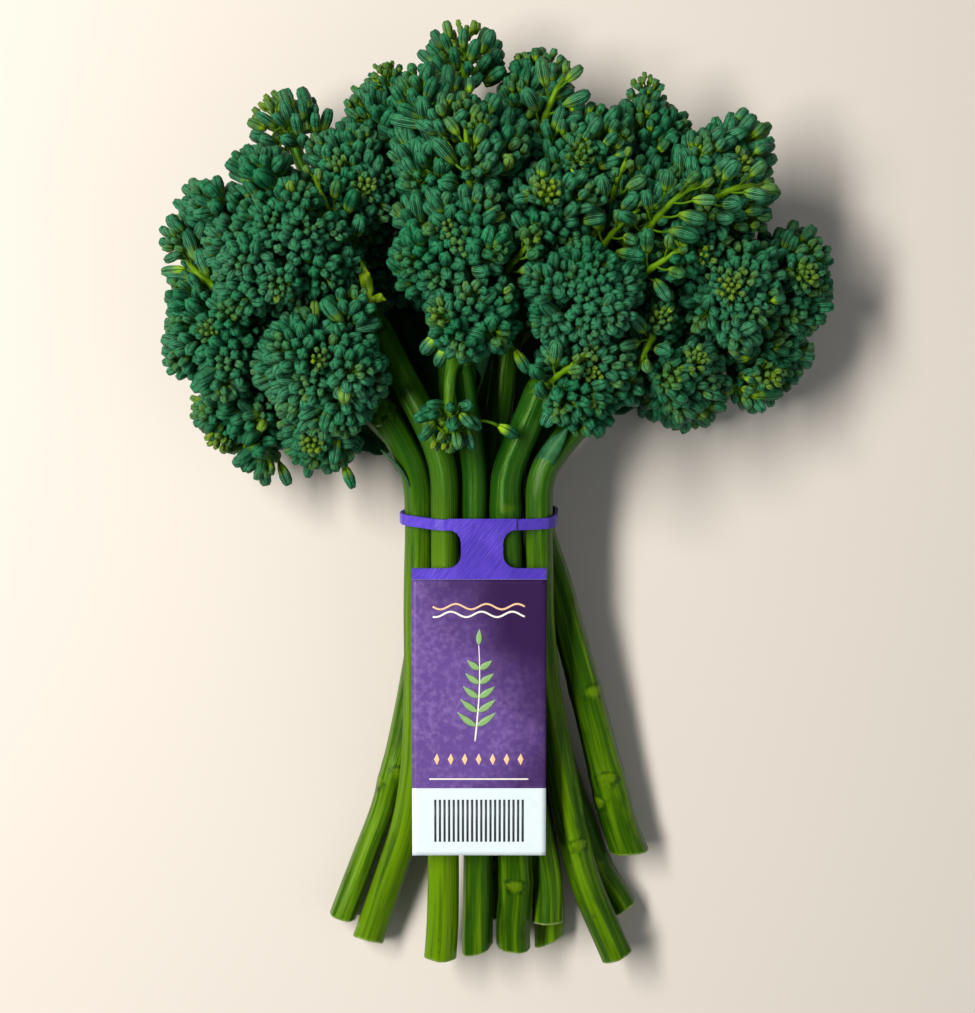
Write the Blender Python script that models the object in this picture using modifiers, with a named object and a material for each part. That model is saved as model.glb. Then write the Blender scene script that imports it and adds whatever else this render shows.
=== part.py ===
"""A bunch of broccolini lying on a table: eleven cut stalks held by a plastic strap with a hanging tag.

Plan dimensions are in millimetres. X runs across the bunch, Y from the cut ends to the heads, and Z up
from the table. Run with: blender --background --python part.py
"""
import math

import bmesh
import bpy
import numpy as np
from mathutils import Matrix, Vector
from mathutils.geometry import convex_hull_2d

MM = 0.001
GAP = 0.3  # clear space between separate pieces
SPARE = 0.7  # more space, which the coarse stems and branches use up where they cut across their bends
MIDDLE = (3.2, 2.2)  # the plan's point that the finished part has over its origin
GOLDEN_ANGLE = math.pi * (3.0 - math.sqrt(5.0))

STEM_STATIONS = 12
STEM_SIDES = 2  # as a tube's bevel resolution: 8 sides
BRANCH_SIDES = 1  # 6 sides
PEDICEL_SIDES = 0  # 4 sides
STATION_STEP = 3.0  # spacing of the points used while the stalks settle
SETTLE_ROUNDS = 500
FIRM = 0.62  # share of a floret's radius that its neighbours can't press into
SMOOTH_UNTIL = 0.8  # share of the rounds after which the stems are no longer smoothed
DEEP_ENOUGH = 0.02  # deepest contact that ends the settling
TABLE_GAP = 0.15  # clear space under a stem
CROWN_LENGTH = 5.0
CROWN_TIP = 0.8  # its radius at its end, as a share of the stem's
CROWN_BALL = 0.9  # the same for the ball that stands for it while the stalks settle
FORK = 0.7  # where the branches leave the crown, as a share of its length
BRANCH_POINTS = 9
BRANCH_STATIONS = 5
BRANCH_RADIUS = 1.3
BRANCH_EXTRA = 0.06  # share of its floret's radius that a branch's radius gains
BRANCH_TIP = 0.75  # its radius at its floret, as a share of that at the crown
BEND_AHEAD = 0.12  # how far a branch runs on along the stem, as a share of its length
BEND_STRAIGHT = 0.30  # how much farther it does so when its floret lies straight ahead
BEND_ASIDE = 0.35  # how far it runs aside when its floret lies to one side
FACE_OUT = 0.35  # how much a floret turns away from its crown

BUD_CELL = 60.0  # surface of a floret that one bud covers
BUD_RELIEF = 5.2  # depth of the furrows between buds
BUD_SPREAD = math.radians(118)  # widest angle between a bud and its floret's axis
BUD_TOP = 0.66  # width of a bud's top, as a share of its cell
BUD_TOP_HEIGHT = 0.93  # height of its rim, as a share of its tip's
FURROW_MERGE = 0.42  # furrow corners nearer than this share of a cell's width become one
BUD_ROOM = 0.78  # a bud pressed lower than this share of its floret's radius doesn't open
UNEVEN = 0.07  # how much lower the lowest buds stand, as a share of the floret's radius

SPRAY_BUDS = 13
SPRAY_CORE = 0.34  # radius of a spray's middle, as a share of the spray's
SPRAY_ROOM = 0.72  # a loose bud that reaches less than this share of its spray's radius is left out
SPRAY_GAP = 0.4  # how far a loose bud stops before its neighbours
SPRAY_BUD_WIDTH = 3.6
SPRAY_BUD_LENGTH = 6.6
BUD_WAIST = 0.42  # height of a loose bud's fullest part, as a share of its length
BUD_SHOULDER = 0.80  # height where its tip begins
SHOULDER_WIDTH = 0.78  # width there, as a share of the bud's width
PEDICEL_RADIUS = 0.6
PEDICEL_SINK = 0.3  # how far a pedicel runs into its bud, as a share of the bud's length
LEAF_THICKNESS = 1.2
LEAF_ROOT = 2.2  # how deep a leaf starts in its stem
LEAF_SPREAD = 2.2  # how far its tip stands off the stem

STRAP_Y = -4.5
STRAP_TOP = 31.0  # height at which the strap is at STRAP_Y
STRAP_LEAN = 0.22  # the strap's back sits nearer the heads by this much for each mm of height
STRAP_WIDTH = 2.8
STRAP_SLACK = 0.6  # between the strap and the outermost stems
PLASTIC = 0.7
TAG_X = -2.2
TAG_WIDTH = 34.6
TAG_LENGTH = 74.8
NECK_X = -1.4
NECK_WIDTH = 10.8
NECK_LENGTH = 9.9  # from the strap's edge to the tag
NECK_FILLET = 3.4
LABEL_MARGIN = 2.8  # plain strip of the tag above the label
LABEL_THICKNESS = 0.4

# Each stalk: the middle of its cut end, points that it passes through, its place under the strap, and the
# crown where its head begins. Radii are at the cut, at the strap and at the crown. Florets are (x, y, z,
# radius, facing); a spray is an open one, whose buds stand on long pedicels. Leaves are (y where they
# start, degrees round the stem from its right side, length, width).
STALKS = {
    "01": {  # outer left
        "path": [(-39.5, -112, 4.3), (-33, -96, 5.2), (-27.0, -79, 6.8), (-20, -48, 10.5)],
        "strap_at": (-14.5, 16.5), "above": [(-19, 12, 18)], "crown": (-36, 31, 20),
        "radii": (3.7, 3.4, 3.6),
        "florets": [
            (-69, 46, 27, 17.0, (-0.6, 0.0, 0.8)),
            (-71, 72, 20, 15.0, (-0.8, 0.4, 0.5)),
            (-56, 44, 11, 13.5, (-0.4, -0.3, -0.6)),
            (-50, 71, 11.5, 14.0, (-0.2, 0.6, -0.6)),
        ],
        "sprays": [],
    },
    "02": {  # front left
        "path": [(-33.0, -119, 5.2), (-26.5, -98, 8.0), (-21.0, -79, 11.5), (-17.5, -48, 17.5)],
        "strap_at": (-16.0, 23.5), "above": [(-17.5, 8, 26)], "crown": (-25, 22.5, 29),
        "radii": (4.1, 3.6, 3.7),
        "florets": [
            (-41, 35, 37, 17.5, (0.15, -0.1, 1.0)),
            (-64, 25, 17, 14.0, (-0.5, -0.6, 0.3)),
            (-44, 21, 23, 12.5, (0.1, -0.8, 0.35)),
        ],
        "sprays": [],
        "leaves": [(2, 160, 17, 5.0)],
    },
    "03": {  # upper left
        "path": [(-12.7, -120.5, 12.5), (-10.8, -98, 15.5), (-10.4, -50, 20.5)],
        "strap_at": (-10.0, 26.5), "above": [(-13, 14, 29.5)], "crown": (-27, 43, 30),
        "radii": (4.4, 3.6, 3.8),
        "florets": [
            (-52, 67, 36, 20.0, (-0.15, 0.05, 1.0)),
            (-34, 83, 32, 15.0, (0.1, 0.3, 0.9)),
        ],
        "sprays": [(-51.5, 97, 24, 13.0, (-0.2, 0.9, 0.3))],
    },
    "04": {  # top of the bunch
        "path": [(15.5, -111, 12.0), (15.0, -94, 12.0), (8.0, -50, 14.5)],
        "strap_at": (-6.5, 19.5), "above": [(-9, 28, 22)], "crown": (-9.5, 56, 27),
        "radii": (4.0, 3.5, 3.6),
        "florets": [
            (-6.5, 89, 36, 20.0, (0.1, 0.25, 0.95)),
            (-23, 96, 25, 15.0, (-0.5, 0.6, 0.5)),
            (-12, 93, 13, 13.5, (-0.2, 0.6, -0.4)),
        ],
        "sprays": [(-6, 114, 27, 13.0, (0.0, 0.95, 0.35))],
    },
    "05": {  # front centre
        "path": [(-2.4, -119.5, 12.5), (-3.4, -96, 15.5), (-3.6, -50, 20.5)],
        "strap_at": (-3.2, 27.0), "above": [(-4, 14, 30)], "crown": (-6.5, 34, 34),
        "radii": (4.3, 3.2, 3.3),
        "florets": [
            (-8, 66, 42, 16.5, (-0.1, 0.1, 1.0)),
            (-3.5, 48, 43, 13.0, (0.1, -0.3, 1.0)),
        ],
        "sprays": [(-9.5, 21, 40, 9.5, (-0.3, -0.7, 0.6))],
    },
    "06": {  # right of centre
        "path": [(6.8, -118, 13.0), (9.0, -98, 16.0), (7.5, -50, 20.5)],
        "strap_at": (4.0, 26.8), "above": [(7, 12, 29)], "crown": (13.0, 28, 32),
        "radii": (4.4, 3.9, 3.9),
        "florets": [
            (23.5, 52, 42, 15.5, (0.1, 0.1, 1.0)),
            (25, 34, 37, 14.0, (0.15, -0.35, 0.9)),
        ],
        "sprays": [],
    },
    "07": {  # top right of centre
        "path": [(16.8, -120, 4.2), (15.5, -98, 4.6), (8.0, -50, 8.5)],
        "strap_at": (0.8, 20.0), "above": [(4, 30, 21)], "crown": (8, 58, 25),
        "radii": (4.0, 3.4, 3.5),
        "florets": [
            (24, 90, 32, 16.5, (0.3, 0.5, 0.8)),
            (14, 74, 40, 15.5, (0.1, 0.1, 1.0)),
            (12, 104, 22, 14.0, (0.1, 0.9, 0.3)),
            (16, 88, 13, 13.0, (0.0, 0.5, -0.4)),
        ],
        "sprays": [],
    },
    "08": {  # upper right
        "path": [(38.0, -95, 7.5), (30.5, -66, 10.5), (22.5, -36, 15.0)],
        "strap_at": (13.2, 19.5), "above": [(16, 18, 22)], "crown": (33, 53, 27),
        "radii": (4.9, 3.6, 3.6),
        "florets": [
            (59, 84, 31, 17.0, (0.5, 0.4, 0.8)),
            (39, 94, 26, 15.0, (0.0, 0.7, 0.6)),
            (43, 77, 34, 13.5, (0.0, 0.1, 1.0)),
            (50, 84, 11.5, 14.0, (0.3, 0.6, -0.6)),
        ],
        "sprays": [],
    },
    "09": {  # outer right
        "path": [(37.4, -110, 4.5), (28.0, -91, 5.5), (19.0, -66, 7.0), (11.5, -36, 10.0)],
        "strap_at": (6.6, 13.5), "above": [(16, 16, 14)], "crown": (42, 38, 18),
        "radii": (4.2, 3.4, 3.5),
        "florets": [
            (76, 58, 23, 16.0, (0.8, 0.2, 0.5)),
            (62, 54, 34, 15.5, (0.2, 0.0, 1.0)),
            (51, 66, 37, 12.5, (0.0, 0.1, 1.0)),
            (60, 57, 11, 13.5, (0.3, 0.1, -0.7)),
        ],
        "sprays": [],
    },
    "10": {  # front right
        "path": [(34.7, -120.3, 12.2), (26.5, -101, 13.2), (19.0, -79, 14.8), (13.5, -40, 19.5)],
        "strap_at": (10.8, 25.8), "above": [(14, 10, 27.5)], "crown": (26, 25, 28),
        "radii": (4.3, 3.5, 3.5),
        "florets": [
            (51, 34, 27, 13.5, (0.1, -0.5, 0.9)),
            (43, 46, 28, 11.5, (0.0, 0.0, 1.0)),
            (72, 40, 19, 14.0, (0.6, -0.6, 0.4)),
            (48, 39, 12, 12.0, (0.0, -0.5, -0.4)),
        ],
        "sprays": [],
        "leaves": [(7, 105, 14, 4.6)],
    },
    "11": {  # underneath
        "path": [(3.0, -112, 4.4), (2.6, -96, 4.8), (-1.5, -50, 7.5)],
        "strap_at": (-4.0, 12.8), "above": [(-2, 18, 11)], "crown": (3, 36, 10.5),
        "radii": (3.8, 3.3, 3.4),
        "florets": [
            (-22, 66, 11.5, 14.5, (-0.3, 0.3, -0.6)),
            (3, 62, 11.5, 14.0, (0.0, 0.4, -0.6)),
            (28, 60, 11.5, 14.5, (0.3, 0.3, -0.6)),
        ],
        "sprays": [],
    },
}

COLOURS = {
    "stem": ((0.115, 0.265, 0.022), 0.38),
    "head": ((0.020, 0.120, 0.048), 0.55),
    "tag": ((0.125, 0.065, 0.560), 0.35),
    "label": ((0.150, 0.060, 0.310), 0.45),
}


def unit(v):
    v = np.asarray(v, float)
    return v / max(float(np.linalg.norm(v)), 1e-9)


def path_length(points):
    return float(np.linalg.norm(np.diff(points, axis=0), axis=1).sum())


def even_points(points, count):
    """The same line with its points at even distances."""
    run = np.concatenate([[0], np.cumsum(np.linalg.norm(np.diff(points, axis=0), axis=1))])
    at = np.linspace(0, run[-1], count)
    return np.stack([np.interp(at, run, points[:, k]) for k in range(3)], axis=1)


def even_values(values, count):
    return np.interp(np.linspace(0, 1, count), np.linspace(0, 1, len(values)), values)


def smooth_path(points, step):
    """A Catmull-Rom curve through the points, read again at even distances of about step."""
    p = np.array(points, float)
    p = np.vstack([2 * p[0] - p[1], p, 2 * p[-1] - p[-2]])
    t = np.linspace(0, 1, 24, endpoint=False)[:, None]
    spans = [
        0.5 * (2 * b + (c - a) * t + (2 * a - 5 * b + 4 * c - d) * t**2 + (3 * b - a - 3 * c + d) * t**3)
        for a, b, c, d in zip(p[:-3], p[1:-2], p[2:-1], p[3:])
    ]
    fine = np.vstack([*spans, p[-2]])
    return even_points(fine, max(2, round(path_length(fine) / step)) + 1)


def core_radius(floret):
    """The solid middle of a floret, as far as the furrows between its buds."""
    radius, is_spray = floret[3], floret[5]
    return SPRAY_CORE * radius if is_spray else radius - BUD_RELIEF


def plan_stalk(spec):
    """The stalk's lines and radii before it is pressed against its neighbours."""
    x, z = spec["strap_at"]
    points = [*spec["path"], (x, STRAP_Y, z), *spec["above"], spec["crown"]]
    line = smooth_path(points, STATION_STEP)
    strap_share = np.argmin(np.abs(line[:, 1] - STRAP_Y)) / (len(line) - 1)
    radii = np.interp(np.linspace(0, 1, len(line)), [0, strap_share, 1], spec["radii"])
    florets = [(*f, False) for f in spec["florets"]] + [(*f, True) for f in spec["sprays"]]
    centres = np.array([f[:3] for f in florets], float)
    return {"line": line, "radii": radii, "centres": centres, "florets": florets}


def crown_of(stalk):
    """(foot, top, direction) of the short piece on which a stalk's branches stand."""
    last = even_points(stalk["line"], STEM_STATIONS)[-2:]
    heading = unit(last[1] - last[0])
    return last[1] + heading * GAP, last[1] + heading * CROWN_LENGTH, heading


def branches_of(stalk):
    """(line, radii) of each branch: it leaves the crown along the stem and bends to its floret's middle."""
    foot, top, heading = crown_of(stalk)
    start = (1 - FORK) * foot + FORK * top
    t = np.linspace(0, 1, BRANCH_POINTS)[:, None]
    found = []
    for centre, floret in zip(stalk["centres"], stalk["florets"]):
        far = np.linalg.norm(centre - start)
        way = unit(centre - start)
        ahead = max(0.0, float(way @ heading))
        side = unit(way - heading * (way @ heading))
        straight_on = heading * (BEND_AHEAD + BEND_STRAIGHT * ahead)
        bend = start + (straight_on + side * BEND_ASIDE * (1 - ahead)) * far
        line = (1 - t) ** 2 * start + 2 * t * (1 - t) * bend + t**2 * centre
        thick = BRANCH_RADIUS + BRANCH_EXTRA * floret[3]
        found.append((line, np.linspace(thick, BRANCH_TIP * thick, len(line))))
    return found


def built_stem(stalk, count):
    """Evenly spaced points and radii on the stem's straight-sided tube as it is built."""
    line, radii = even_points(stalk["line"], STEM_STATIONS), even_values(stalk["radii"], STEM_STATIONS)
    return even_points(line, count), even_values(radii, count)


def crown_ball(stalk):
    foot, top, heading = crown_of(stalk)
    return (top - heading)[None, :], np.array([CROWN_BALL * stalk["radii"][-1]])


def stem_balls(stalk, count, with_crown=True):
    """The stem as a string of balls, with its crown on top if that counts."""
    at, r = built_stem(stalk, count)
    if with_crown:
        crown_at, crown_radius = crown_ball(stalk)
        at, r = np.vstack([at, crown_at]), np.append(r, crown_radius)
    return at, r


def settle(stalks):
    """Presses the stalks apart until none cuts another: each is a string of balls that push each other."""
    for turn in range(SETTLE_ROUNDS):
        balls, radii, owner = [], [], []
        for k, s in enumerate(stalks.values()):
            cores = np.array([FIRM * f[3] for f in s["florets"]])
            stem = [(s["line"], s["radii"]), crown_ball(s)]
            for line, r in [*stem, *branches_of(s), (s["centres"], cores)]:
                balls.append(line)
                radii.append(r)
                owner += [k] * len(line)
        at, r, owner = np.vstack(balls), np.concatenate(radii), np.array(owner)
        apart = at[:, None] - at[None, :]
        distance = np.linalg.norm(apart, axis=2)
        depth = np.maximum(r[:, None] + r[None, :] + GAP + SPARE - distance, 0)
        depth[owner[:, None] == owner[None, :]] = 0
        worst = depth.max()
        push = (apart / np.maximum(distance, 1e-6)[:, :, None] * depth[:, :, None] * 0.5).sum(1)
        push /= np.maximum((depth > 0).sum(1), 1)[:, None]
        start = 0
        for s in stalks.values():
            n, m = len(s["line"]), len(s["centres"])
            move = push[start:start + n].copy()
            move[-1] += push[start + n]
            start += n + 1
            cores_from = start + BRANCH_POINTS * m
            branches = push[start:cores_from].reshape(m, BRANCH_POINTS, 3)
            share = np.linspace(0, 1, BRANCH_POINTS)[None, :, None]
            s["centres"] += 0.5 * (branches * share).sum(1) + push[cores_from:cores_from + m]
            move[-1] += 0.5 * (branches * (1 - share)).sum((0, 1))
            start = cores_from + m
            if turn < SETTLE_ROUNDS * SMOOTH_UNTIL:
                for _ in range(3):
                    move[1:-1] = 0.25 * move[:-2] + 0.5 * move[1:-1] + 0.25 * move[2:]
            s["line"] += move
            s["line"][:, 2] = np.maximum(s["line"][:, 2], s["radii"] + TABLE_GAP)
        if worst < DEEP_ENOUGH:
            break
    print(f"settled after {turn + 1} rounds, deepest contact left {worst:.2f} mm")


def room_round(name, j, stalks):
    """Planes that keep a floret to its own room: (directions away from it, distances).

    Two florets share the plane where their spheres would meet, and each ball of a stem or of another
    stalk's branch has a plane in front of it.
    """
    stalk = stalks[name]
    centre, radius = stalk["centres"][j], stalk["florets"][j][3]
    ways, offsets = [], []
    for other, s in stalks.items():
        for k, (c, f) in enumerate(zip(s["centres"], s["florets"])):
            far = np.linalg.norm(c - centre)
            if (other, k) != (name, j) and far < radius + f[3]:
                ways.append((c - centre) / far)
                offsets.append((far**2 + radius**2 - f[3]**2) / (2 * far) - 0.5 * GAP - 0.02)
        lines = [stem_balls(s, 120, with_crown=other != name)]
        if other != name:
            lines += [(even_points(line, 30), even_values(r, 30)) for line, r in branches_of(s)]
        for at, r in lines:
            far = np.linalg.norm(at - centre, axis=1)
            near = far - r < radius + GAP
            ways += list((at[near] - centre) / far[near, None])
            offsets += list((far - r)[near] - GAP - 0.05)
    return np.array(ways), np.array(offsets)


def reach_along(directions, radius, room):
    """How far a floret reaches along each direction before it meets the nearest of its planes."""
    ways, offsets = room
    toward = directions @ ways.T
    limit = np.where(toward > 0.02, offsets / np.maximum(toward, 0.02), np.inf).min(1)
    return np.clip(limit, 0.0, radius)


def spiral(count, axis):
    """Directions spread evenly over a sphere, from the axis to its far end, in a sunflower's spiral."""
    side = unit(np.cross(axis, (0.31, 0.95, 0.11)))
    other = np.cross(axis, side)
    k = np.arange(count)
    along = 1 - 2 * (k + 0.5) / count
    turn = k * GOLDEN_ANGLE
    around = np.cos(turn)[:, None] * side + np.sin(turn)[:, None] * other
    return along[:, None] * axis + np.sqrt(1 - along**2)[:, None] * around


def furrows_between(directions):
    """Corners of the cells round the directions on a sphere, and each cell's corners in order."""
    work = bmesh.new()
    verts = [work.verts.new(d) for d in directions]
    work.verts.index_update()
    bmesh.ops.convex_hull(work, input=verts)
    work.faces.index_update()
    corners = np.array([unit(f.normal) for f in work.faces])
    merged = np.arange(len(corners))
    close = FURROW_MERGE * math.sqrt(4 * math.pi / len(directions))
    for k in range(len(corners)):
        near = np.flatnonzero(np.linalg.norm(corners[:k] - corners[k], axis=1) < close)
        if len(near):
            merged[k] = merged[near[0]]
    cells = []
    for v, d in zip(verts, directions):
        side = unit(np.cross(d, (0.2, 0.5, 0.8)))
        other = np.cross(d, side)
        around = {}
        for f in v.link_faces:
            around[f.index] = math.atan2(corners[f.index] @ other, corners[f.index] @ side)
        cell = []
        for k in sorted(around, key=around.get):
            if merged[k] not in cell:
                cell.append(int(merged[k]))
        cells.append(cell)
    work.free()
    return corners, cells


def floret_mesh(centre, floret, axis, room):
    """A floret: its surface rises from furrows to one blunt bud in each cell of a spiral.

    What would reach below the table is pressed flat on it.
    """
    radius = floret[3]
    core = core_radius(floret) / radius
    whole = 4 * math.pi * (0.5 * radius + 0.5 * core * radius) ** 2
    directions = spiral(max(18, round(whole / BUD_CELL)), axis)
    corners, cells = furrows_between(directions)
    work = bmesh.new()

    def place(way, height):
        far = reach_along(way[None, :], radius, room)[0] * height
        if way[2] < 0:
            far = min(far, -centre[2] / way[2])
        return work.verts.new((centre + way * far) * MM)

    furrow = {k: place(corners[k], core) for k in sorted({k for cell in cells for k in cell})}
    for k, (way, cell) in enumerate(zip(directions, cells)):
        if len(cell) < 3:
            continue
        pressed = reach_along(way[None, :], radius, room)[0] < BUD_ROOM * radius
        if pressed or way @ axis < math.cos(BUD_SPREAD):
            work.faces.new([furrow[c] for c in cell])
            continue
        tip_height = 1 - UNEVEN * (k * 0.618 % 1)
        edge_ways = [unit(BUD_TOP * corners[c] + (1 - BUD_TOP) * way) for c in cell]
        rim = [place(edge_way, BUD_TOP_HEIGHT * tip_height) for edge_way in edge_ways]
        tip = place(way, tip_height)
        for a in range(len(cell)):
            b = (a + 1) % len(cell)
            work.faces.new([furrow[cell[a]], furrow[cell[b]], rim[b], rim[a]])
            work.faces.new([rim[a], rim[b], tip])
    bmesh.ops.recalc_face_normals(work, faces=work.faces)
    bmesh.ops.triangulate(work, faces=work.faces)
    mesh = bpy.data.meshes.new("floret")
    work.to_mesh(mesh)
    work.free()
    return mesh


def link(obj, collection):
    collection.objects.link(obj)
    return obj


def evaluated_mesh(obj):
    """The object's mesh with its modifiers or its tube applied."""
    bpy.context.view_layer.update()
    return bpy.data.meshes.new_from_object(obj.evaluated_get(bpy.context.evaluated_depsgraph_get()))


def tube(name, line, radii, resolution, collection):
    """A tube along the line, with flat closed ends, as a mesh."""
    curve = bpy.data.curves.new(name, "CURVE")
    curve.dimensions = "3D"
    curve.bevel_depth = MM
    curve.bevel_resolution = resolution
    curve.use_fill_caps = True
    spline = curve.splines.new("POLY")
    spline.points.add(len(line) - 1)
    for point, at, radius in zip(spline.points, line, radii):
        point.co = (*(float(v) * MM for v in at), 1)
        point.radius = float(radius)
    guide = link(bpy.data.objects.new(name + "_line", curve), collection)
    mesh = evaluated_mesh(guide)
    bpy.data.objects.remove(guide)
    work = bmesh.new()
    work.from_mesh(mesh)
    bmesh.ops.remove_doubles(work, verts=work.verts, dist=1e-7)
    bmesh.ops.recalc_face_normals(work, faces=work.faces)
    work.to_mesh(mesh)
    work.free()
    return link(bpy.data.objects.new(name, mesh), collection)


def ball(name, centre, radius, collection):
    mesh = bpy.data.meshes.new(name)
    work = bmesh.new()
    at = Matrix.Translation(Vector(centre) * MM)
    bmesh.ops.create_icosphere(work, subdivisions=1, radius=radius * MM, matrix=at)
    work.to_mesh(mesh)
    work.free()
    return link(bpy.data.objects.new(name, mesh), collection)


def loose_bud(foot, direction, collection):
    """A bud that stands free on its pedicel: a slim foot, a full waist and a drawn-in tip."""
    mesh = bpy.data.meshes.new("bud")
    work = bmesh.new()
    bmesh.ops.create_uvsphere(work, u_segments=4, v_segments=3, radius=1.0)
    heights = {-1.0: 0.0, -0.5: BUD_WAIST, 0.5: BUD_SHOULDER, 1.0: 1.0}
    full = 0.5 * SPRAY_BUD_WIDTH / math.sin(math.radians(60))
    for v in work.verts:
        level = round(v.co.z * 2) / 2
        wide = full * SHOULDER_WIDTH if level == 0.5 else full
        v.co = (v.co.x * wide * MM, v.co.y * wide * MM, heights[level] * SPRAY_BUD_LENGTH * MM)
    work.to_mesh(mesh)
    work.free()
    turn = Vector(direction).to_track_quat("Z", "Y").to_matrix().to_4x4()
    mesh.transform(Matrix.Translation(Vector(foot) * MM) @ turn)
    return link(bpy.data.objects.new("bud", mesh), collection)


def add_spray(centre, floret, axis, room, collection):
    """An open floret: a small core, and loose buds that stand on pedicels all round."""
    ball("core", centre, core_radius(floret), collection)
    directions = spiral(round(SPRAY_BUDS * 2 / (1 - math.cos(BUD_SPREAD))), axis)[:SPRAY_BUDS]
    reach = reach_along(directions, floret[3], room) - SPRAY_GAP
    for way, far in zip(directions, reach):
        if far < SPRAY_ROOM * floret[3]:
            continue
        foot = centre + way * (far - SPRAY_BUD_LENGTH)
        loose_bud(foot, way, collection)
        line = [centre, foot + way * PEDICEL_SINK * SPRAY_BUD_LENGTH]
        tube("pedicel", line, [PEDICEL_RADIUS] * 2, PEDICEL_SIDES, collection)


def outer_shell(mesh):
    """Keeps the largest of the mesh's loose shells: scraps are dropped, and sealed hollows filled."""
    work = bmesh.new()
    work.from_mesh(mesh)
    left = set(work.verts)
    shells = []
    while left:
        shell, edge = set(), [left.pop()]
        while edge:
            v = edge.pop()
            shell.add(v)
            for e in v.link_edges:
                other = e.other_vert(v)
                if other in left:
                    left.discard(other)
                    edge.append(other)
        shells.append(shell)
    shells.sort(key=len)
    for shell in shells[:-1]:
        bmesh.ops.delete(work, geom=list(shell), context="VERTS")
    work.to_mesh(mesh)
    work.free()
    return [len(shell) for shell in shells[:-1]]


def joined(name, pieces, collection):
    """The pieces of a collection as one closed mesh object; the pieces are then removed."""
    first = pieces.objects[0]
    pieces.objects.unlink(first)
    first.name = name
    link(first, collection)
    union = first.modifiers.new("join", "BOOLEAN")
    union.operation = "UNION"
    union.operand_type = "COLLECTION"
    union.collection = pieces
    mesh = evaluated_mesh(first)
    first.modifiers.clear()
    first.data = mesh
    for obj in list(pieces.objects):
        bpy.data.objects.remove(obj)
    bpy.data.collections.remove(pieces)
    return first


def new_collection(name):
    made = bpy.data.collections.new(name)
    bpy.context.scene.collection.children.link(made)
    return made


def material(name):
    made = bpy.data.materials.get(name)
    if made is None:
        colour, roughness = COLOURS[name]
        made = bpy.data.materials.new(name)
        made.use_nodes = True
        shader = made.node_tree.nodes["Principled BSDF"]
        shader.inputs["Base Color"].default_value = (*colour, 1)
        shader.inputs["Roughness"].default_value = roughness
        shader.inputs["Metallic"].default_value = 0.0
        made.diffuse_color = (*colour, 1)
    return made


def paint(obj, name):
    obj.data.materials.clear()
    obj.data.materials.append(material(name))


def leaf(stalk, start_y, turn, length, width, collection):
    """A small blade that leaves the stem's side at start_y and runs on beside it, a flat bent ellipsoid."""
    line, radii = built_stem(stalk, 200)
    run = np.linspace(0, path_length(line), 200)
    start = run[np.argmin(np.abs(line[:, 1] - start_y))]
    mesh = bpy.data.meshes.new("leaf")
    work = bmesh.new()
    bmesh.ops.create_uvsphere(work, u_segments=6, v_segments=5, radius=1.0)
    for v in work.verts:
        share = 0.5 + 0.5 * v.co.z
        at = np.array([np.interp(start + share * length, run, line[:, k]) for k in range(3)])
        ahead = np.array([np.interp(start + share * length + 1, run, line[:, k]) for k in range(3)])
        heading = unit(ahead - at)
        side = unit(np.cross(heading, (0, 0, 1)))
        out = math.cos(turn) * side + math.sin(turn) * np.cross(side, heading)
        lift = np.interp(start, run, radii) - LEAF_ROOT + (LEAF_ROOT + LEAF_SPREAD) * share
        across = v.co.x * 0.5 * width * np.cross(heading, out)
        v.co = (at + across + out * (lift + v.co.y * 0.5 * LEAF_THICKNESS)) * MM
    bmesh.ops.recalc_face_normals(work, faces=work.faces)
    work.to_mesh(mesh)
    work.free()
    link(bpy.data.objects.new("leaf", mesh), collection)


def build_stem(name, stalk, collection):
    """The stem from its cut end to its crown, with its leaves."""
    pieces = new_collection("stem_pieces_" + name)
    line, radii = built_stem(stalk, STEM_STATIONS)
    tube("stem", line, radii, STEM_SIDES, pieces)
    for start_y, turn, length, width in STALKS[name].get("leaves", []):
        leaf(stalk, start_y, math.radians(turn), length, width, pieces)
    paint(joined("stem_" + name, pieces, collection), "stem")


def build_head(name, stalks, collection):
    """The crown, its branches and their florets, joined as one body."""
    stalk = stalks[name]
    pieces = new_collection("pieces_" + name)
    foot, top, heading = crown_of(stalk)
    wide = stalk["radii"][-1]
    tube("crown", [foot, top], [wide, CROWN_TIP * wide], STEM_SIDES, pieces)
    for line, radii in branches_of(stalk):
        line, radii = even_points(line, BRANCH_STATIONS), even_values(radii, BRANCH_STATIONS)
        tube("branch", line, radii, BRANCH_SIDES, pieces)
    for j, (centre, floret) in enumerate(zip(stalk["centres"], stalk["florets"])):
        axis = unit(unit(floret[4]) + FACE_OUT * unit(centre - top))
        room = room_round(name, j, stalks)
        if floret[5]:
            add_spray(centre, floret, axis, room, pieces)
        else:
            link(bpy.data.objects.new("floret", floret_mesh(centre, floret, axis, room)), pieces)
    head = joined("head_" + name, pieces, collection)
    scraps = outer_shell(head.data)
    paint(head, "head")
    print(f"head {name}: {len(head.data.polygons)} faces, scraps dropped {scraps}")


def strap_line(stalks):
    """The strap's inner line in its leaning plane, (across, up), drawn tight round the stems."""
    rim = []
    for s in stalks.values():
        line, radii = built_stem(s, 400)
        k = np.argmin(np.abs(line[:, 1] - STRAP_Y - STRAP_LEAN * (STRAP_TOP - line[:, 2])))
        up = line[k, 2] * math.hypot(1, STRAP_LEAN)
        turn = np.linspace(0, 2 * math.pi, 12, endpoint=False)
        r = radii[k] + STRAP_SLACK
        rim += [Vector((line[k, 0] + r * math.cos(a), up + r * math.sin(a))) for a in turn]
    return [rim[k] for k in convex_hull_2d(rim)]


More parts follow.
